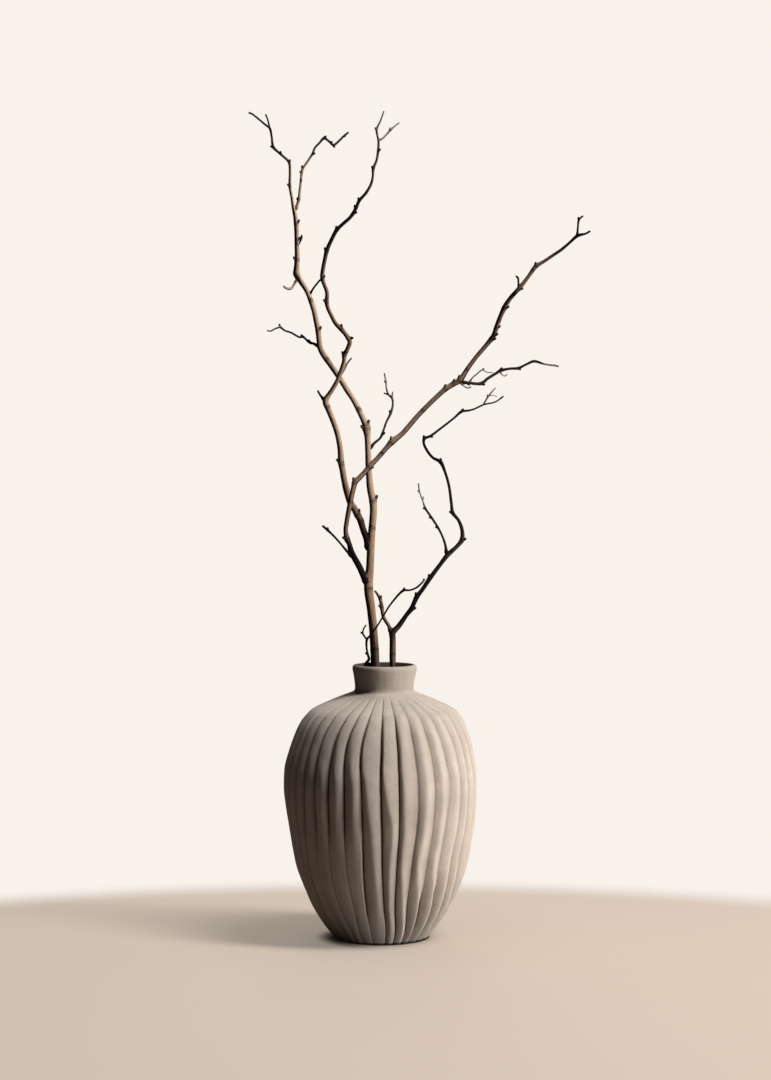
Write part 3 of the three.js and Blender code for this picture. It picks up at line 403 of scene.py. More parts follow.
SHOOT_READINGS = ("tone", "pale", "edge", "rim")
BARK_READINGS = ("knuckle_and_shade", *SHOOT_READINGS)  # what every point of a branch tells its bark

ROUTE_STEP = 0.35  # between the points that a route is measured by
TIP_TRIM = 0.4  # cut off a shoot's drawn end, which the rounded tip then reaches
TIP_SHARES = (1.0, 0.6, 0.3, 0.1, 0.0)  # stations on the rounded tip, in shares of its radius
LOWEST_BUD = 287  # the stems are bare in the vase and just over its lip
THINNEST_WITH_BUDS = 1.2
SLEEPING_BUD_STEP = 60  # small buds on the front and back of every shoot
SLEEPING_BUD_SIZE = 0.7
BUD_LEAN = math.radians(34)  # how far a bud leans forward along its shoot
BUD_FORM = ((0, 1.0), (0.2, 1.0), (0.42, 0.94), (0.6, 0.8), (0.76, 0.62), (0.89, 0.4), (0.97, 0.2))
BUD_SIDES = 10
NODE_REACH = 5  # how far from a bud the shoot is still swollen
FULL_SIDES_AT = 9  # thickness of a stem with the full number of sides
RUN_APART = 731.0  # sets each shoot's bark pattern well away from the others'

# What stains the bark, the painted highlight on the lit side of old bark, and the pale bark at the finest
# twigs' ends.
STREAK_STAIN, CLOUD_STAIN = (0.42, 0.40, 0.38), (0.62, 0.55, 0.5)
PAINTED_HIGHLIGHT, TWIG_END = (0.61, 0.47, 0.365), (0.43, 0.36, 0.28)

# ---------------------------------------------------------------- the stage, in metres

FLOOR_RADIUS = 1.5
FLOOR_DROP = 0.0002  # keeps the floor just under the foot
FLOOR_FADE = (0.85, 0.97)  # the floor fades out between these distances
FLOOR_FADE_SHIFT = (0, 0.6, 0)  # from a middle this far in front of the vase
SHADE_REACH = (0.16, 0.020, 0.005)  # soft shade round the foot, close shade beside it, contact line
LIT_FROM, LIT_TO = -0.045, 0.0  # the close shade is only on the side away from the main light
GLOW_FADE = (0.05, 0.14)  # the floor gives back light only beyond the shade round the foot
GLOW_COLOUR = Vector((1.0, 0.74, 0.58))
BACKDROP_COLOUR, ROOM_COLOUR = (0.945, 0.89, 0.835), (1.0, 0.76, 0.62)
LENS, SENSOR = 96.77, 36.0


# ---------------------------------------------------------------- sums

def mix(a, b, share):
    return a + (b - a) * share


def ramp(low, high, x):
    """Smooth step from 0 at low to 1 at high."""
    t = min(max((x - low) / (high - low), 0.0), 1.0)
    return t * t * (3.0 - 2.0 * t)


def through(heights, values, x):
    """Smooth value at x on a curve through listed values, level at its two ends."""
    last = len(heights) - 1
    if x <= heights[0]:
        return values[0]
    if x >= heights[last]:
        return values[last]
    i = max(j for j in range(last) if heights[j] <= x)
    wide = heights[i + 1] - heights[i]
    start, end = (
        0.0 if j in (0, last) else (values[j + 1] - values[j - 1]) / (heights[j + 1] - heights[j - 1])
        for j in (i, i + 1)
    )
    t = (x - heights[i]) / wide
    return (
        values[i] * (1 + 2 * t) * (1 - t) ** 2 + start * wide * t * (1 - t) ** 2
        + values[i + 1] * t * t * (3 - 2 * t) - end * wide * t * t * (1 - t)
    )


def wander(*place):
    """Smooth noise between about -1 and 1."""
    return noise.noise(Vector(place))


# ---------------------------------------------------------------- mesh help

def dressed(piece, material, node):
    """The piece with its finish, riding on the body in place of its CAD node."""
    piece.data.materials.clear()
    piece.data.materials.append(material)
    for face in piece.data.polygons:
        face.use_smooth = True
    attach(piece, "root")
    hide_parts(node)
    for row in frame["record"]["subparts"]:
        row["node"] == node


def object_of(name, work):
    """A new object whose mesh is the bmesh, which is used up."""
    mesh = bpy.data.meshes.new(name)
    work.to_mesh(mesh)
    work.free()
    return bpy.data.objects.new(name, mesh)


def placed(piece):
    bpy.context.scene.collection.objects.link(piece)
    return piece


# ---------------------------------------------------------------- shader help

class Wire:
    """An output socket of a material, with the sums that can be written on it."""

    def __init__(self, finish, socket):
        self.finish, self.socket = finish, socket

    def sum(self, operation, *values):
        return self.finish.node("ShaderNodeMath", {"operation": operation}, dict(enumerate(values)))

    def __add__(self, other):
        return self.sum("ADD", self, other)

    def __sub__(self, other):
        return self.sum("SUBTRACT", self, other)

    def __rsub__(self, other):
        return self.sum("SUBTRACT", other, self)

    def __mul__(self, other):
        return self.sum("MULTIPLY", self, other)

    def __truediv__(self, other):
        return self.sum("DIVIDE", self, other)

    __radd__ = __add__
    __rmul__ = __mul__

    def step(self, low, high):
        """Smooth step of this value from 0 at low to 1 at high."""
        return self.finish.node(
            "ShaderNodeMapRange", {"interpolation_type": "SMOOTHSTEP"},
            {"Value": self, "From Min": low, "From Max": high})


class Nodes:
    """The nodes of a material or a world, and the one method that adds any node to them."""

    def __init__(self, owner):
        owner.use_nodes = True
        self.tree = owner.node_tree
        self.tree.nodes.clear()

    def node(self, kind, settings=None, inputs=None, output=0):
        made = self.tree.nodes.new(kind)
        for key, value in (settings or {}).items():
            setattr(made, key, value)
        for key, value in (inputs or {}).items():
            self.plug(made.inputs[key], value)
        return Wire(self, made.outputs[output]) if made.outputs else made

    def plug(self, socket, value):
        if isinstance(value, Wire):
            self.tree.links.new(value.socket, socket)
        elif hasattr(value, "__len__") and socket.type == "RGBA":
            socket.default_value = (*value[:3], 1.0)
        else:
            socket.default_value = value


class Finish(Nodes):
    """A material with a Principled surface."""

    def __init__(self, name, constants):
        self.material = bpy.data.materials.new(name)
        super().__init__(self.material)
        self.surface = self.node("ShaderNodeBsdfPrincipled", inputs=constants)
        self.out = self.node("ShaderNodeOutputMaterial", inputs={"Surface": self.surface})

    def feed(self, **inputs):
        """Links or sets sockets of the Principled surface, spaces written as underscores."""
        for key, value in inputs.items():
            self.plug(self.surface.socket.node.inputs[key.replace("_", " ")], value)

    def blend(self, share, first, second, way="MIX"):
        return self.node(
            "ShaderNodeMix", {"data_type": "RGBA", "blend_type": way}, {0: share, 6: first, 7: second}, 2)

    def coats(self, colour, *coats):
        """The colour under a row of coats, each (share, colour) with its way of blending after it."""
        for share, *coat in coats:
            colour = self.blend(share, colour, *coat)
        return colour

    def vector(self, operation, *vectors, output=0):
        return self.node("ShaderNodeVectorMath", {"operation": operation}, dict(enumerate(vectors)), output)

    def split(self, place):
        """The three numbers of a vector."""
        first = self.node("ShaderNodeSeparateXYZ", inputs={0: place})
        return [Wire(self, output) for output in first.socket.node.outputs]

    def noise(self, place, scale, detail=3.0, rough=0.5):
        """Noise at one scale all ways, or at a scale for each way."""
        if hasattr(scale, "__len__"):
            place, scale = self.vector("MULTIPLY", place, scale), 1
        return self.node("ShaderNodeTexNoise", inputs={
            "Vector": place, "Scale": scale, "Detail": detail, "Roughness": rough})

    def reading(self, name, output="Fac"):
        return self.node("ShaderNodeAttribute", {"attribute_name": name}, output=output)

    def bump(self, strength, distance, height):
        return self.node("ShaderNodeBump", inputs={
            "Strength": strength, "Distance": distance, "Height": height})


# ---------------------------------------------------------------- settings

class IkebanaVase(bpy.types.PropertyGroup):
    rib_depth: FloatProperty(
        name="Rib depth", description="Depth of the grooves between the ribs", default=3.6 * MM,
        min=0.0, unit="LENGTH")
    wall: FloatProperty(
        name="Wall", description="Thickness of the vase's wall", default=7.0 * MM, min=0.002, unit="LENGTH")
    clay: FloatVectorProperty(
        name="Clay", description="Colour of the bare stoneware", default=(0.50, 0.449, 0.405),
        subtype="COLOR", min=0.0, max=1.0)
    # Colour of the painted shade down in the grooves; the stoneware also paints the shade inside the mouth,
    # on the neck and at the foot with it.
    groove_shade_clay: FloatVectorProperty(
        name="Clay in the grooves", description="Colour of the stoneware down in the grooves",
        default=(0.25, 0.20, 0.165), subtype="COLOR", min=0.0, max=1.0)


class IkebanaBranches(bpy.types.PropertyGroup):
    bark: FloatVectorProperty(
        name="Old bark", description="Colour of the bark on the thick wood", default=(0.46, 0.31, 0.22),
        subtype="COLOR", min=0.0, max=1.0)
    twig: FloatVectorProperty(
        name="Twig bark", description="Colour of the bark on the thin twigs", default=(0.008, 0.005, 0.004),
        subtype="COLOR", min=0.0, max=1.0)
    sides: IntProperty(
        name="Sides", description="Sides of the thickest stem", default=26, min=8, max=48)


class IkebanaStage(bpy.types.PropertyGroup):
    main_light: FloatProperty(
        name="Main light", description="Power of the large soft light at the right, in watts", default=101.0,
        min=0.0)
    fill: FloatProperty(
        name="Fill", description="Brightness of the light from all round", default=0.025, min=0.0)
    glow: FloatProperty(
        name="Floor glow", description="Brightness of the light that the floor gives back", default=0.18,
        min=0.0)
    floor: FloatVectorProperty(
        name="Floor", description="Colour of the plain floor", default=(0.62, 0.53, 0.45),
        subtype="COLOR", min=0.0, max=1.0)


# ---------------------------------------------------------------- vase

def front_number(k):
    """Number of a rib or groove counted from the viewer, 0 in the middle, negative to the left."""
    return (k + RIB_COUNT // 2) % RIB_COUNT - RIB_COUNT // 2


def at_height(rows, column, z):
    """Value at a height in one column of a table with a row for each height."""
    return through([row[0] for row in rows], [row[1][column] for row in rows], z)


def groove_angle(k, z):
    """Angle of groove number k at a height, in degrees; unseen grooves are even round the back."""
    number = front_number(k)
    turns = (k - number) // RIB_COUNT * 360

    def front(n):
        drawn = at_height(GROOVES, n + GROOVE_SPAN, z)
        return math.degrees(math.asin(math.sin(math.radians(drawn)) * GROOVE_SIGHT))

    if abs(number) <= GROOVE_SPAN:
        return front(number) + turns
    right = front(GROOVE_SPAN)
    back_ribs = RIB_COUNT - 2 * GROOVE_SPAN
    pitch = (front(-GROOVE_SPAN) + 360 - right) / back_ribs
    steps = (number if number > 0 else number + RIB_COUNT) - GROOVE_SPAN
    wave = math.sin(2.4 * steps + z / 31) * math.sin(math.pi * steps / back_ribs)
    return right + steps * pitch + 1.1 * wave + (0 if number > 0 else -360) + turns


def crest_share(k, z):
    """Where rib number k's crest stands between its two grooves."""
    number = front_number(k)
    if -GROOVE_SPAN <= number < GROOVE_SPAN:
        return at_height(CRESTS, number + GROOVE_SPAN, z)
    low = 1 - ramp(75, 165, z)
    return 0.5 + 0.11 * low * math.sin(1.9 * k + z / 24) + 0.05 * math.sin(3.1 * k + z / 40)


def hollow_share(number, z):
    """How much a rib's left flank is hollowed out at a height."""
    return through(*zip(*HOLLOWS[number]), z) if number in HOLLOWS else 0.0


def rib_fall(left, share, z, soft, hollow):
    """How far the surface lies under the crest, as a share of the depth, 0 to 1 from groove to crest."""
    away = 1 - share
    top = 0.75 * away ** 2.6 + 0.25 * away ** 6 if left else 0.65 * away ** 2 + 0.35 * away ** 6
    middle = 0.5 * away + 0.5 * away ** 5 if left else away ** 2.1
    low = 0.15 * (1 - share ** 1.8) + 0.85 * away ** 1.7 if left else away ** 1.8
    lower = mix(low, middle, ramp(50, 100, z))
    pressed = mix(lower, top, ramp(150, 190, z))
    rounded = mix(pressed, 0.5 + 0.5 * math.cos(math.pi * share), soft)
    return mix(rounded, 0.85 * (1 - share ** 1.35) + 0.2 * away ** 5, hollow)


def groove_softness(number):
    """0 for the grooves pressed in sharply, towards 1 for the shallow rounded ones at the right."""
    if abs(number) > GROOVE_SPAN:
        return 0.5
    return ramp(0.5, 2.5, number) * 0.8


def rib_strength(number, z):
    """How deep the grooves are at a height, as a share of their full depth.

    They run out at the neck and are shallow at the foot, worn low on the left, deeper low on the right
    and a little shallower higher up there.
    """
    neck = mix(0.5, 1, ramp(0, 48, RIB_TOP - z)) * ramp(0, 6, RIB_TOP - z)
    worn = ramp(135, 90, z) * 0.85 * ramp(-6.5, -3.5, number) * ramp(-1, -2, number)
    worn = max(worn, 0.8 * ramp(45, 20, z) * ramp(-6.5, -3.5, number) * ramp(0, -1, number))
    deep = 0.8 * ramp(65, 35, z) * ramp(0.5, 3, number)
    right = 1 - 0.25 * ramp(1, 3, number) * ramp(60, 110, z)
    return neck * mix(0.5, 1, ramp(0, 22, z)) * (1 - worn) * (1.05 + deep) * right


def vase_profile(wall):
    """Rows from the foot's centre, up the outside, over the lip and down the inside.

    Each is a point and the side it is on: 0 the foot, 1 the outside, 2 the lip and the inside.
    """
    points = [Vector(point) for point in OUTLINE]
    ends = [points[0], *points, points[-1]]
    fine = []
    for p0, p1, p2, p3 in zip(ends, ends[1:], ends[2:], ends[3:]):
        for j in range(OUTLINE_PARTS):
            t = j / OUTLINE_PARTS
            fine.append(
                0.5 * (2 * p1 + (p2 - p0) * t + (2 * p0 - 5 * p1 + 4 * p2 - p3) * t ** 2
                       + (3 * p1 - p0 - 3 * p2 + p3) * t ** 3))
    fine.append(points[-1])

    outside, run = [fine[0]], 0.0
    for a, b in zip(fine, fine[1:]):
        run += (b - a).length
        if run >= mix(*ROW_STEPS, ramp(0, 12, b.y) * (1 - 0.5 * ramp(236, 248, b.y))):
            outside.append(b)
            run = 0.0
    inside = []
    for before, here, after in zip(fine, fine[1:], fine[2:]):
        along = (after - before).normalized()
        inside.append(Vector((here.x - wall * along.y, here.y + wall * along.x)))
    inside = [p for p in inside if INNER_FLOOR + 3 < p.y < LIP[-1][1] - 3][::INSIDE_EVERY]
    wide = inside[0].x
    bend = [(wide - 2.6, 0.9), (wide - 6, 0), (20, 0), (0, 0)]
    bend = [(radius, INNER_FLOOR + rise) for radius, rise in bend]
    sides = (reversed(FOOT), outside, [*LIP, *reversed(inside), *bend])
    return [(Vector(point), side) for side, rows in enumerate(sides) for point in rows]


def make_vase_mesh(sizes):
    columns = RIB_COUNT * RIB_COLUMNS
    work = bmesh.new()
    side_layer, groove_layer, inside_layer = (
        work.verts.layers.float.new(name) for name in ("side", "groove", "inside"))
    last = None
    for (radius, height), side in vase_profile(sizes.wall / MM):
        vert = work.verts.new((0, -radius, height))
        vert[side_layer] = side
        if last:
            work.edges.new((last, vert))
        last = vert
    bmesh.ops.spin(
        work, geom=[*work.verts, *work.edges], cent=(0, 0, 0), axis=(0, 0, 1), dvec=(0, 0, 0),
        angle=2 * math.pi, steps=columns, use_merge=True, use_duplicate=False)
    bmesh.ops.remove_doubles(work, verts=work.verts, dist=1e-5)
    bmesh.ops.recalc_face_normals(work, faces=work.faces)

    groove_at, crest_at, hollow_at = (lru_cache(None)(f) for f in (groove_angle, crest_share, hollow_share))
    lean_at = lru_cache(None)(lambda z: through(*zip(*LEAN), z))
    for vert in work.verts:
        x, y, z = vert.co
        radius = math.hypot(x, y)
        side = round(vert[side_layer])
        # The inside, below the lip, which the stoneware paints dark as shade.
        vert[inside_layer] = 1.0 if side == 2 and z < INSIDE_TOP else 0.0
        angle = 0.0
        if radius >= 0.01:
            column = round(math.atan2(x, -y) / (2 * math.pi) * columns) % columns
            rib, step = divmod(column, RIB_COLUMNS)
            height = round(min(max(z, 0), RIB_TOP), 3)
            crest = crest_at(rib, height)
            left = step < len(FLANK)
            share = FLANK[step] if left else FLANK[RIB_COLUMNS - step]
            part = share * crest if left else 1 - share * (1 - crest)
            angle = math.radians(mix(groove_at(rib, height), groove_at(rib + 1, height), part))
            if side == 1:
                number = front_number(rib)
                strength = rib_strength(number, z)
                soft = groove_softness(number if left else number + 1)
                cut = CUT_DEPTH * math.exp(-(share / CUT_WIDTH) ** 2) * (1 - soft)
                fall = rib_fall(left, share, z, soft, hollow_at(number, height) if left else 0.0) + cut
                around = Vector((math.sin(angle), -math.cos(angle)))
                rib_depth = sizes.rib_depth / MM * (1 + DEPTH_WANDER * wander(rib * 5.3, z / 34, 2.0))
                lump = LUMP * (1 + wander(around.x * 2.2, around.y * 2.2, z / 60))
                pat = PAT * (1 + wander(around.x * 9, around.y * 9, z / 11))
                thrown = THROWING_LINE * (1 + math.sin(z * 1.9 + 0.6 * around.x)) * ramp(238, 250, z)
                crest_fall = strength * CREST_FALL * (1 + wander(rib * 2.9, z / 18, 7.0)) * share
                radius -= rib_depth * fall * strength + (lump + pat) * ramp(0, 20, z) + thrown + crest_fall
                # How deep the point lies in its groove, which the stoneware reads for its painted groove
                # shade.
                vert[groove_layer] = min((0.45 * fall + 1.3 * cut) * strength, 1.0)
        vert.co = Vector((lean_at(z) + radius * math.sin(angle), -radius * math.cos(angle), z)) * MM
    work.verts.layers.float.remove(side_layer)
    return work


def stoneware(sizes):
    """Bare matte stoneware: mottled, speckled, wiped round by hand, with painted shade down in the grooves,
    on the neck, inside the mouth and at the foot.
    """
    finish = Finish("stoneware", {"IOR": 1.45, "Specular IOR Level": 0.25})
    place = finish.node("ShaderNodeTexCoord", output="Object")
    across, depth, height = finish.split(place)
    groove, inside = finish.reading("groove"), finish.reading("inside")
    cloud = finish.noise(place, 26, 4, 0.6)
    mottle = finish.noise(place, 110, 4, 0.6)
    grain = finish.noise(place, 1100, 3, 0.6)
    wiped = finish.noise(place, (130, 130, 16), 4, 0.6)
    thrown = finish.noise(place, (14, 14, 420), 4, 0.6)
    speck = finish.noise(place, 620, 1, 0.4).step(0.66, 0.74)
    pit = finish.noise(place, 380, 2, 0.5).step(0.36, 0.27)
    # neck is the neck's height; foot is the foot's lowest three millimetres, which get a painted contact
    # shade.
    neck, foot = height.step(0.238, 0.252), 1 - height.step(0.0008, 0.0030)
    # Painted shade on the neck's left front, away from the main light.
    painted_neck_shade = neck * (across * -1.0 - depth * 0.5).step(0.012, 0.028)

    # The second colour is the one for all the painted shade below.
    clay, shade_clay = Vector(sizes.clay), Vector(sizes.groove_shade_clay)
    colour = finish.coats(
        finish.blend(cloud.step(0.3, 0.7), clay * 0.88, clay * 1.08),
        (0.5 * mottle.step(0.35, 0.7), clay * 0.9),
        ((0.50 - 0.46 * neck) * wiped.step(0.45, 0.75), clay * 0.76),
        ((0.12 + 0.22 * neck) * thrown.step(0.4, 0.75), clay * 0.75),
        (0.35 * speck, clay * 0.62),
        (0.25 * pit, clay * 0.55),
        # Painted shade down in the grooves: a broad darkening, and a dark line along each groove's bottom.
        (groove.step(0.05, 0.6) * (0.4 + 0.4 * mottle), shade_clay),
        (groove.step(0.5, 0.9) * 0.85, shade_clay * 0.3),
        # Painted shade: the whole neck a little darker.
        (neck * 0.15, shade_clay * 0.8),
        # Painted shade on the neck's left front.
        (0.5 * painted_neck_shade, shade_clay * 0.25),
        # Painted contact shade round the bottom of the foot.
        (0.8 * foot, shade_clay * 0.15),
        # Painted shade: the inside of the mouth nearly dark.
        (inside * 0.95, shade_clay * 0.2))
    marks = wiped * (1.1 - 1.0 * neck) + thrown * (0.15 + 0.35 * neck)
    relief = grain * 0.5 + mottle * 0.9 + marks - pit * 0.5 + speck * 0.15
    finish.feed(Base_Color=colour, Roughness=0.84 + 0.12 * mottle, Normal=finish.bump(0.55, 0.0007, relief))
    return finish.material


# ---------------------------------------------------------------- branches

def seen(across, up, depth):
    """The real place of a drawn point: it slides along its line of sight to its own depth."""
    sight = (AIM - EYE).normalized()
    right = Vector((1, 0, 0))
    drawn = AIM + right * (across - AIM.x) + right.cross(sight) * (up - AIM_DRAWN_UP)
    ray = drawn - EYE
    return EYE + ray * ((depth - EYE.y) / ray.y)


def span_curve(points, i):
    """The smooth curve from point i to the next one, as a function of a share 0 to 1."""
    p1, p2 = points[i], points[i + 1]
    p0 = points[i - 1] if i else 2 * p1 - p2
    p3 = points[i + 2] if i + 2 < len(points) else 2 * p2 - p1
    d0, d1, d2 = ((b - a).length_squared ** 0.25 for a, b in ((p0, p1), (p1, p2), (p2, p3)))
    start = ((p1 - p0) / d0 - (p2 - p0) / (d0 + d1) + (p2 - p1) / d1) * d1
    end = ((p2 - p1) / d1 - (p3 - p1) / (d1 + d2) + (p3 - p2) / d2) * d1
    c2, c3 = 3 * (p2 - p1) - 2 * start - end, 2 * (p1 - p2) + start + end
    return lambda t: p1 + start * t + c2 * t ** 2 + c3 * t ** 3


class Ring:
    """One station along a shoot: where it is, where it points, how thick it is, how far along."""

    def __init__(self, centre, along, wide, run, across):
        self.centre, self.along, self.wide, self.run = centre, along, wide, run
        self.across = across
        self.over = across.cross(along)


def rings_of(root, route):
    """Stations along a shoot, evenly spaced, closer on thin wood and closest at the rounded tip."""
    points = [Vector(p[:3]) for p in root] + [seen(*p[:3]) for p in route]
    thick = [p[3] for p in (*root, *route)]
    fine = []
    run = 0.0
    for i in range(len(points) - 1):
        curve = span_curve(points, i)
        parts = max(4, round((points[i + 1] - points[i]).length / ROUTE_STEP))
        for j in range(parts + (i == len(points) - 2)):
            place = curve(j / parts)
            if fine:
                run += (place - fine[-1][0]).length
            fine.append((place, run, mix(thick[i], thick[i + 1], ramp(0, 1, j / parts))))
    whole = run - TIP_TRIM
    tip = 0.5 * thick[-1]
    stations, here, at = [], 0.0, 0
    while here < whole - tip:
        while fine[at + 1][1] < here:
            at += 1
        stations.append(here)
        here += 0.8 + 0.1 * fine[at][2]
    stations += [whole - tip * share for share in TIP_SHARES]

    rings, at, across = [], 0, Vector((1, 0, 0))
    for here in stations:
        while at < len(fine) - 2 and fine[at + 1][1] < here:
            at += 1
        (a, run_a, wide_a), (b, run_b, wide_b) = fine[at], fine[at + 1]
        share = min(max((here - run_a) / (run_b - run_a), 0.0), 1.0)
        wide = mix(wide_a, wide_b, share)
        left = whole - here
        if left < tip:
            wide *= max(math.sqrt(1 - (1 - left / tip) ** 2), 0.12)
        before, after = fine[max(at - 2, 0)][0], fine[min(at + 3, len(fine) - 1)][0]
        along = (after - before).normalized()
        across = (across - across.dot(along) * along).normalized()
        rings.append(Ring(a.lerp(b, share), along, wide, here, across))
    return rings


def bud_rings(centre, along, side, wide, size):
    """A blunt bud that leans forward along its shoot and bends in at its tip."""
    out = (side - side.dot(along) * along).normalized()
    axis = out * math.cos(BUD_LEAN) + along * math.sin(BUD_LEAN)
    root, height = 0.15 * wide, (1.15 + 0.24 * wide) * size + wide / 2
    base = 2 * (0.8 + 0.25 * wide) * size
    return [
        Ring(centre + axis * mix(root, height, part) + along * 0.5 * size * part ** 2, axis, base * fat,
             part * height, axis.orthogonal().normalized())
        for part, fat in BUD_FORM
    ]


def tube(name, rings, sides, number, shape, marks):
    """A closed tube along its rings. shape(ring, out) is its radius, marks(ring) its bark readings."""
    work = bmesh.new()
    layers = work.verts.layers
    bark, girth = layers.float_vector.new("bark"), layers.float.new("girth")
    readings = [layers.float.new(reading) for reading in BARK_READINGS]
    bmesh.ops.create_circle(work, segments=sides, radius=1.0)
    bmesh.ops.spin(
        work, geom=[*work.verts, *work.edges], cent=(0, 0, 0), axis=(0, 0, 1), dvec=(0, 0, 1),
        angle=0.0, steps=len(rings) - 1, use_merge=False, use_duplicate=False)
    bmesh.ops.holes_fill(work, edges=[edge for edge in work.edges if edge.is_boundary], sides=0)
    for vert in work.verts:
        ring = rings[round(vert.co.z)]
        turn = math.atan2(vert.co.y, vert.co.x)
        out = ring.across * math.cos(turn) + ring.over * math.sin(turn)
        reach = 0.5 * max(ring.wide, 1.2)
        vert[bark] = (reach * math.cos(turn), reach * math.sin(turn), ring.run + RUN_APART * number)
        vert[girth] = max(ring.wide, 0.5)
        for layer, value in zip(readings, marks(ring)):
            vert[layer] = value
        vert.co = (ring.centre + out * shape(ring, out)) * MM
    bmesh.ops.recalc_face_normals(work, faces=work.faces)
    return object_of(name, work)


def buds_of(route, rings, turns):
    """Buds where the route sets them, and small sleeping ones by turns on the shoot's back and front.

    Each is (its ring, centre, side, thickness of the shoot, size).
    """
    buds = []
    for across, up, depth, wide, angle in (point for point in route if len(point) == 5):
        centre = seen(across, up, depth)
        at = min(rings, key=lambda ring: (ring.centre - centre).length)
        turn = math.radians(angle)
        buds.append((at, centre, Vector((math.cos(turn), -0.25, math.sin(turn))), wide, 1.0))
    next(turns)
    run = SLEEPING_BUD_STEP / 2
    for before, ring in zip(rings, rings[1:]):
        run += ring.run - before.run
        if run >= SLEEPING_BUD_STEP and ring.centre.z >= LOWEST_BUD and ring.wide >= THINNEST_WITH_BUDS:
            run, turn = 0.0, next(turns)
            side = Vector((0.4 * math.sin(2.4 * turn), 1 if turn % 2 else -1, 0))
            buds.append((ring, ring.centre, side, ring.wide, SLEEPING_BUD_SIZE))
    return buds


def make_branch(node, root, shoots, bark, sizes, material):
    made, earlier, turns = [], [], count(1)
    for number, (name, route) in enumerate(shoots.items()):
        rings = rings_of([] if number else root, route)
        start = rings[0].centre
        near = min(earlier, key=lambda ring: (ring.centre - start).length, default=None)
        socket = near.wide / 2 if near else 0.0
        buds = buds_of(route, rings, turns)
        told = [tuple(zip(*bark.get(reading, {}).get(name, [(0, 0.0)]))) for reading in SHOOT_READINGS]
        seed = number * 7.1 + len(node)

        def bark_at(ring):
            return [through(*pairs, ring.centre.z) for pairs in told]

        def shape(ring, out):
            radius = ring.wide / 2
            grain = wander(out.x * 1.3 * radius, out.y * 1.3 * radius, ring.run / 9 + seed)
            lobes = wander(out.x * 0.9, out.z * 0.9, ring.run / 40 + seed)
            radius *= 1 + 0.035 * grain + 0.05 * lobes
            if socket:
                radius *= 1 + 0.30 * math.exp(-((ring.run - 1.15 * socket) / (0.7 * socket)) ** 2)
            for at, _, side, wide, size in buds:
                away = ring.run - at.run
                if abs(away) < NODE_REACH:
                    facing = max(out.dot(side.normalized()), 0.0)
                    radius += size * 0.05 * wide * math.exp(-((away + 0.8) / 1.5) ** 2) * (0.4 + facing ** 2)
            return radius

        def marks(ring):
            close = max((math.exp(-((ring.run - bud[0].run) / 1.6) ** 2) for bud in buds), default=0.0)
            collar = math.exp(-((ring.run - 1.2 * socket) / 1.6) ** 2) if socket else 0.0
            return max(close, collar), *bark_at(ring)

        sides = max(8, round(sizes.sides * (max(ring.wide for ring in rings) / FULL_SIDES_AT) ** 0.75))
        made.append(tube(f"{node}_{number}", rings, sides, number, shape, marks))
        for at, centre, side, wide, size in buds:
            made.append(tube(
                f"{node}_{number}_bud_{len(made)}", bud_rings(centre, at.along, side, wide, size),
                BUD_SIDES, number,
                lambda ring, out: ring.wide / 2 * (1 + 0.06 * wander(out.x * 2, out.y * 2, ring.run)),
                # Buds are dark like the nodes, and painted darker still as shade when they face left, away
                # from the main light.
                lambda ring: (1 - 0.7 * ramp(-0.3, 0.4, side.normalized().x), *bark_at(ring))))
        earlier += rings
    dressed(grown_together(node, made), material, node)


def grown_together(node, made):
    """All the tubes as one closed piece, in the first tube's object."""
    parts = bpy.data.collections.new(f"{node}_parts")
    bpy.context.scene.collection.children.link(parts)
    for part in made[1:]:
        parts.objects.link(part)
    piece = placed(made[0])
    piece.name = f"{node}_wood"
    union = piece.modifiers.new("grown together", "BOOLEAN")
    union.operation, union.operand_type, union.solver = "UNION", "COLLECTION", "MANIFOLD"
    union.collection = parts
    graph = bpy.context.evaluated_depsgraph_get()
    whole = bpy.data.meshes.new_from_object(
        piece.evaluated_get(graph), preserve_all_data_layers=True, depsgraph=graph)
    piece.modifiers.clear()
    piece.data = whole
    for part in list(parts.objects):
        bpy.data.objects.remove(part, do_unlink=True)
    bpy.data.collections.remove(parts)
    soften_forks(whole)
    return piece


def soften_forks(mesh):
    """Gives the new points where shoots meet their neighbours' bark, and rounds the crease there."""
    work = bmesh.new()
    work.from_mesh(mesh)
    layers = work.verts.layers
    girth, bark = layers.float["girth"], layers.float_vector["bark"]
    told = [bark, *(layers.float[name] for name in ("girth", *BARK_READINGS))]
    seam = [vert for vert in work.verts if vert[girth] < 0.1]
    bare = seam
    while bare:
        left, found = [], []
        for vert in bare:
            known = [e.other_vert(vert) for e in vert.link_edges if e.other_vert(vert)[girth] > 0.1]
            if known:
                found.append((vert, min(known, key=lambda other: (other.co - vert.co).length)))
            else:
                left.append(vert)
        if not found:
            break
        for vert, other in found:
            for layer in told:
                vert[layer] = other[layer]
        bare = left
    bmesh.ops.triangulate(work, faces=[face for face in work.faces if len(face.verts) > 4])
    near = set(seam)
    near |= {edge.other_vert(vert) for vert in seam for edge in vert.link_edges}
    for _ in range(3):
        bmesh.ops.smooth_vert(
            work, verts=list(near), factor=0.4, use_axis_x=True, use_axis_y=True, use_axis_z=True)
    bmesh.ops.remove_doubles(work, verts=list(near), dist=0.00003)
    work.to_mesh(mesh)
    work.free()


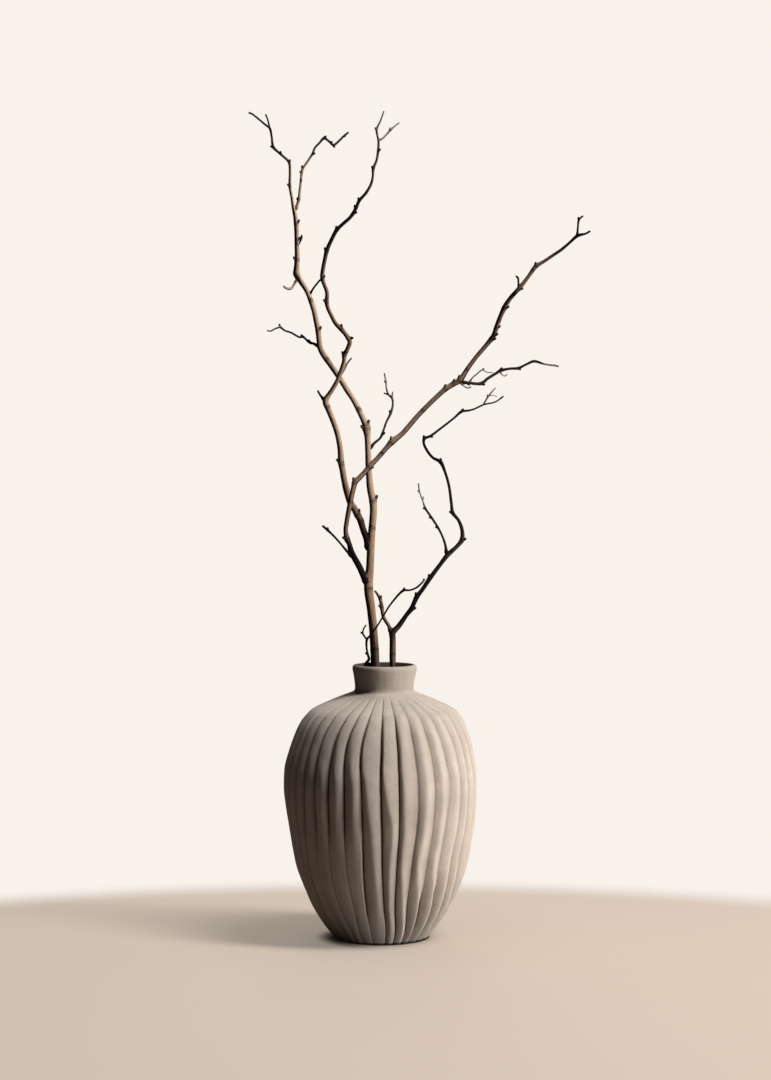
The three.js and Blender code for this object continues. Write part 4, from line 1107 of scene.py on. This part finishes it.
def bark_finish(name, sizes):
    """Smooth bark: streaked along the shoot, darker and rougher at the nodes, dark on thin twigs, with
    painted light and shade on the sides turned to and away from the main light.
    """
    finish = Finish(name, {"IOR": 1.45, "Specular IOR Level": 0.12})
    place, girth = finish.reading("bark", "Vector"), finish.reading("girth")
    knuckle_and_shade, tone, pale, edge, rim = (finish.reading(reading) for reading in BARK_READINGS)
    turned = finish.split(place)[0] / girth
    streak = finish.noise(place, (1.5, 1.5, 0.10), 4, 0.6)
    cloud = finish.noise(place, (0.25, 0.25, 0.06), 3, 0.5)
    fleck = finish.noise(place, (1.1, 1.1, 2.6), 2, 0.5).step(0.62, 0.72)
    grain = finish.noise(place, (5.0, 5.0, 0.9), 3, 0.6)
    old, young = Vector(sizes.bark), Vector(sizes.twig)
    # Painted light and shade: the side of each shoot turned to the main light is tan, the other side is
    # painted dark, and a dark rim is painted just past the lit side.
    painted_lit_side = (turned + 0.042 * girth + edge).step(0.04, 0.28) * (1 - (turned + rim).step(0.47, 0.60))
    colour = finish.coats(
        finish.blend(tone.sum("MINIMUM", tone, 1.0) * (0.12 + 0.88 * painted_lit_side), young, old),
        (0.55 * streak.step(0.42, 0.68), STREAK_STAIN, "MULTIPLY"),
        (0.5 * cloud.step(0.45, 0.7), CLOUD_STAIN, "MULTIPLY"),
        # Painted highlight on the lit side where the tone passes 1.
        (painted_lit_side * tone.step(0.95, 1.8), PAINTED_HIGHLIGHT),
        (0.22 * fleck * tone, old * 1.25),
        # Dark at the nodes and on the buds, with painted shade on the buds that face left.
        (0.65 * knuckle_and_shade, young * 1.2),
        (pale * (0.95 - 0.3 * knuckle_and_shade), TWIG_END))
    relief = grain * 0.6 + streak * 0.9 + fleck * 0.5
    finish.feed(Base_Color=colour, Roughness=0.70 + 0.18 * streak, Normal=finish.bump(0.6, 0.0003, relief))
    return finish.material


# ---------------------------------------------------------------- stage

def aim(thing, target):
    thing.rotation_euler = (Vector(target) - thing.location).to_track_quat("-Z", "Y").to_euler()


def soft_light(name, place, target, wide, tall, power, colour):
    data = bpy.data.lights.new(name, "AREA")
    data.shape, data.size, data.size_y = "RECTANGLE", wide, tall
    data.energy, data.color = power, colour
    light = placed(bpy.data.objects.new(name, data))
    light.location = place
    aim(light, target)
    light.visible_camera = False
    return light


def floor_finish(settings):
    """Plain pale floor that fades into the backdrop, shown partly by its own glow, with painted shade only
    close to the foot.

    What it gives back to the vase is set apart from how it looks, and is weak near the shaded foot.
    """
    matt = {"Roughness": 1.0, "Specular IOR Level": 0.0, "Emission Strength": 1.0}
    finish = Finish("table_top", matt)
    place = finish.node("ShaderNodeTexCoord", output="Object")
    away = finish.vector("LENGTH", finish.vector("ADD", place, FLOOR_FADE_SHIFT), output="Value")
    near, wide, tight = (
        finish.node("ShaderNodeAmbientOcclusion", {"samples": 8}, {"Distance": reach}, output="AO")
        for reach in SHADE_REACH)
    lit = finish.split(place)[0].step(LIT_FROM, LIT_TO)
    # Painted shade: a soft one round the foot, a contact line at the foot, and a closer shade beside it on
    # the side away from the main light.
    touch = tight.step(0.25, 0.75) * (lit + (1 - lit) * wide.step(0.3, 0.9))
    colour = Vector(settings.floor)
    pale = finish.blend(near, colour * 0.31, colour * 0.55)
    finish.feed(
        Base_Color=finish.blend(touch, colour * 0.01, colour * 0.5),
        Emission_Color=finish.blend(touch, colour * 0.01, pale))
    clear = finish.node("ShaderNodeBsdfTransparent")
    shown = finish.node(
        "ShaderNodeMixShader", inputs={0: away.step(*FLOOR_FADE), 1: finish.surface, 2: clear})
    from_foot = finish.vector("LENGTH", place, output="Value")
    glow = finish.blend(from_foot.step(*GLOW_FADE), (0, 0, 0), GLOW_COLOUR * settings.glow)
    given = finish.node(
        "ShaderNodeBsdfPrincipled", inputs={**matt, "Base Color": (0, 0, 0), "Emission Color": glow})
    by_camera = finish.node("ShaderNodeLightPath")
    both = finish.node("ShaderNodeMixShader", inputs={0: by_camera, 1: given, 2: shown})
    finish.plug(finish.out.inputs["Surface"], both)
    return finish.material


def make_floor(settings):
    work = bmesh.new()
    bmesh.ops.create_circle(work, cap_ends=True, segments=96, radius=FLOOR_RADIUS)
    bmesh.ops.translate(work, vec=(0, 0, -FLOOR_DROP), verts=work.verts)
    floor = placed(object_of("table_top", work))
    floor.data.materials.append(floor_finish(settings))
    floor.visible_shadow = False
    return floor


def make_room(fill):
    """A pale backdrop for the camera and a weaker light from all round for the object."""
    world = bpy.data.worlds.new("soft room")
    room = Nodes(world)
    backdrop = room.node("ShaderNodeBackground", inputs={"Color": BACKDROP_COLOUR})
    light = room.node("ShaderNodeBackground", inputs={"Color": ROOM_COLOUR, "Strength": fill})
    by_camera = room.node("ShaderNodeLightPath")
    both = room.node("ShaderNodeMixShader", inputs={0: by_camera, 1: light, 2: backdrop})
    room.node("ShaderNodeOutputWorld", inputs={"Surface": both})
    bpy.context.scene.world = world


def make_lights(power, floor):
    soft_light("main light", (1.41, -0.65, 2.45), (0, 0, 0.25), 0.5, 1.8, power, (1, 0.955, 0.9))
    bounce = soft_light("floor bounce", (0.43, -0.13, 0.03), (0, 0, 0.09), 0.7, 0.2, 2.7, (1, 0.92, 0.84))
    unlit = bpy.data.collections.new("not lit by the bounce")
    unlit.objects.link(floor)
    unlit.collection_objects[0].light_linking.link_state = "EXCLUDE"
    bounce.light_linking.receiver_collection = unlit
    soft_light("behind", (0, 2.6, 1.5), (0, 0, 0.3), 1.2, 1.6, 0.2 * power, (1, 0.95, 0.9))


def make_camera():
    lens = bpy.data.cameras.new("camera")
    lens.lens, lens.sensor_width, lens.sensor_fit = LENS, SENSOR, "AUTO"
    lens.clip_start, lens.clip_end = 0.05, 60.0
    camera = placed(bpy.data.objects.new("camera", lens))
    camera.location = EYE * MM
    aim(camera, AIM * MM)
    bpy.context.scene.camera = camera
    bpy.context.scene.view_settings.view_transform = "Standard"


# ---------------------------------------------------------------- operators and panel

class IKEBANA_OT_vase(bpy.types.Operator):
    """Make the ribbed stoneware vase"""
    bl_idname = "ikebana.make_vase"
    bl_label = "Vase"

    def execute(self, context):
        sizes = context.scene.ikebana_vase
        vase = placed(object_of("vase_stoneware", make_vase_mesh(sizes)))
        dressed(vase, stoneware(sizes), "vase")
        return {"FINISHED"}


class IKEBANA_OT_branches(bpy.types.Operator):
    """Make the tall branch, the side branch and the thin twig"""
    bl_idname = "ikebana.make_branches"
    bl_label = "Branches"

    def execute(self, context):
        sizes = context.scene.ikebana_branches
        for node, drawing in BRANCHES.items():
            make_branch(node, *drawing, sizes, bark_finish(f"{node}_bark", sizes))
        return {"FINISHED"}


class IKEBANA_OT_stage(bpy.types.Operator):
    """Make the floor, the soft light and the camera"""
    bl_idname = "ikebana.make_stage"
    bl_label = "Stage"

    def execute(self, context):
        settings = context.scene.ikebana_stage
        make_room(settings.fill)
        make_lights(settings.main_light, make_floor(settings))
        make_camera()
        return {"FINISHED"}


OPERATORS = (IKEBANA_OT_vase, IKEBANA_OT_branches, IKEBANA_OT_stage)
GROUPS = {"ikebana_vase": IkebanaVase, "ikebana_branches": IkebanaBranches, "ikebana_stage": IkebanaStage}


class IKEBANA_PT_panel(bpy.types.Panel):
    bl_idname = "IKEBANA_PT_panel"
    bl_label = "Ikebana arrangement"
    bl_space_type = "VIEW_3D"
    bl_region_type = "UI"
    bl_category = "Ikebana"

    def draw(self, context):
        for (name, group), operator in zip(GROUPS.items(), OPERATORS):
            box = self.layout.box()
            for setting in group.__annotations__:
                box.prop(getattr(context.scene, name), setting)
            box.operator(operator.bl_idname)


def register():
    for item in (*GROUPS.values(), *OPERATORS, IKEBANA_PT_panel):
        bpy.utils.register_class(item)
    for name, group in GROUPS.items():
        setattr(bpy.types.Scene, name, PointerProperty(type=group))


def unregister():
    for name in GROUPS:
        delattr(bpy.types.Scene, name)
    for item in (IKEBANA_PT_panel, *reversed(OPERATORS), *GROUPS.values()):
        bpy.utils.unregister_class(item)


def main():
    register()
    bpy.ops.ikebana.make_stage()
    bpy.ops.ikebana.make_vase()
    bpy.ops.ikebana.make_branches()


if __name__ == "__main__":
    main()
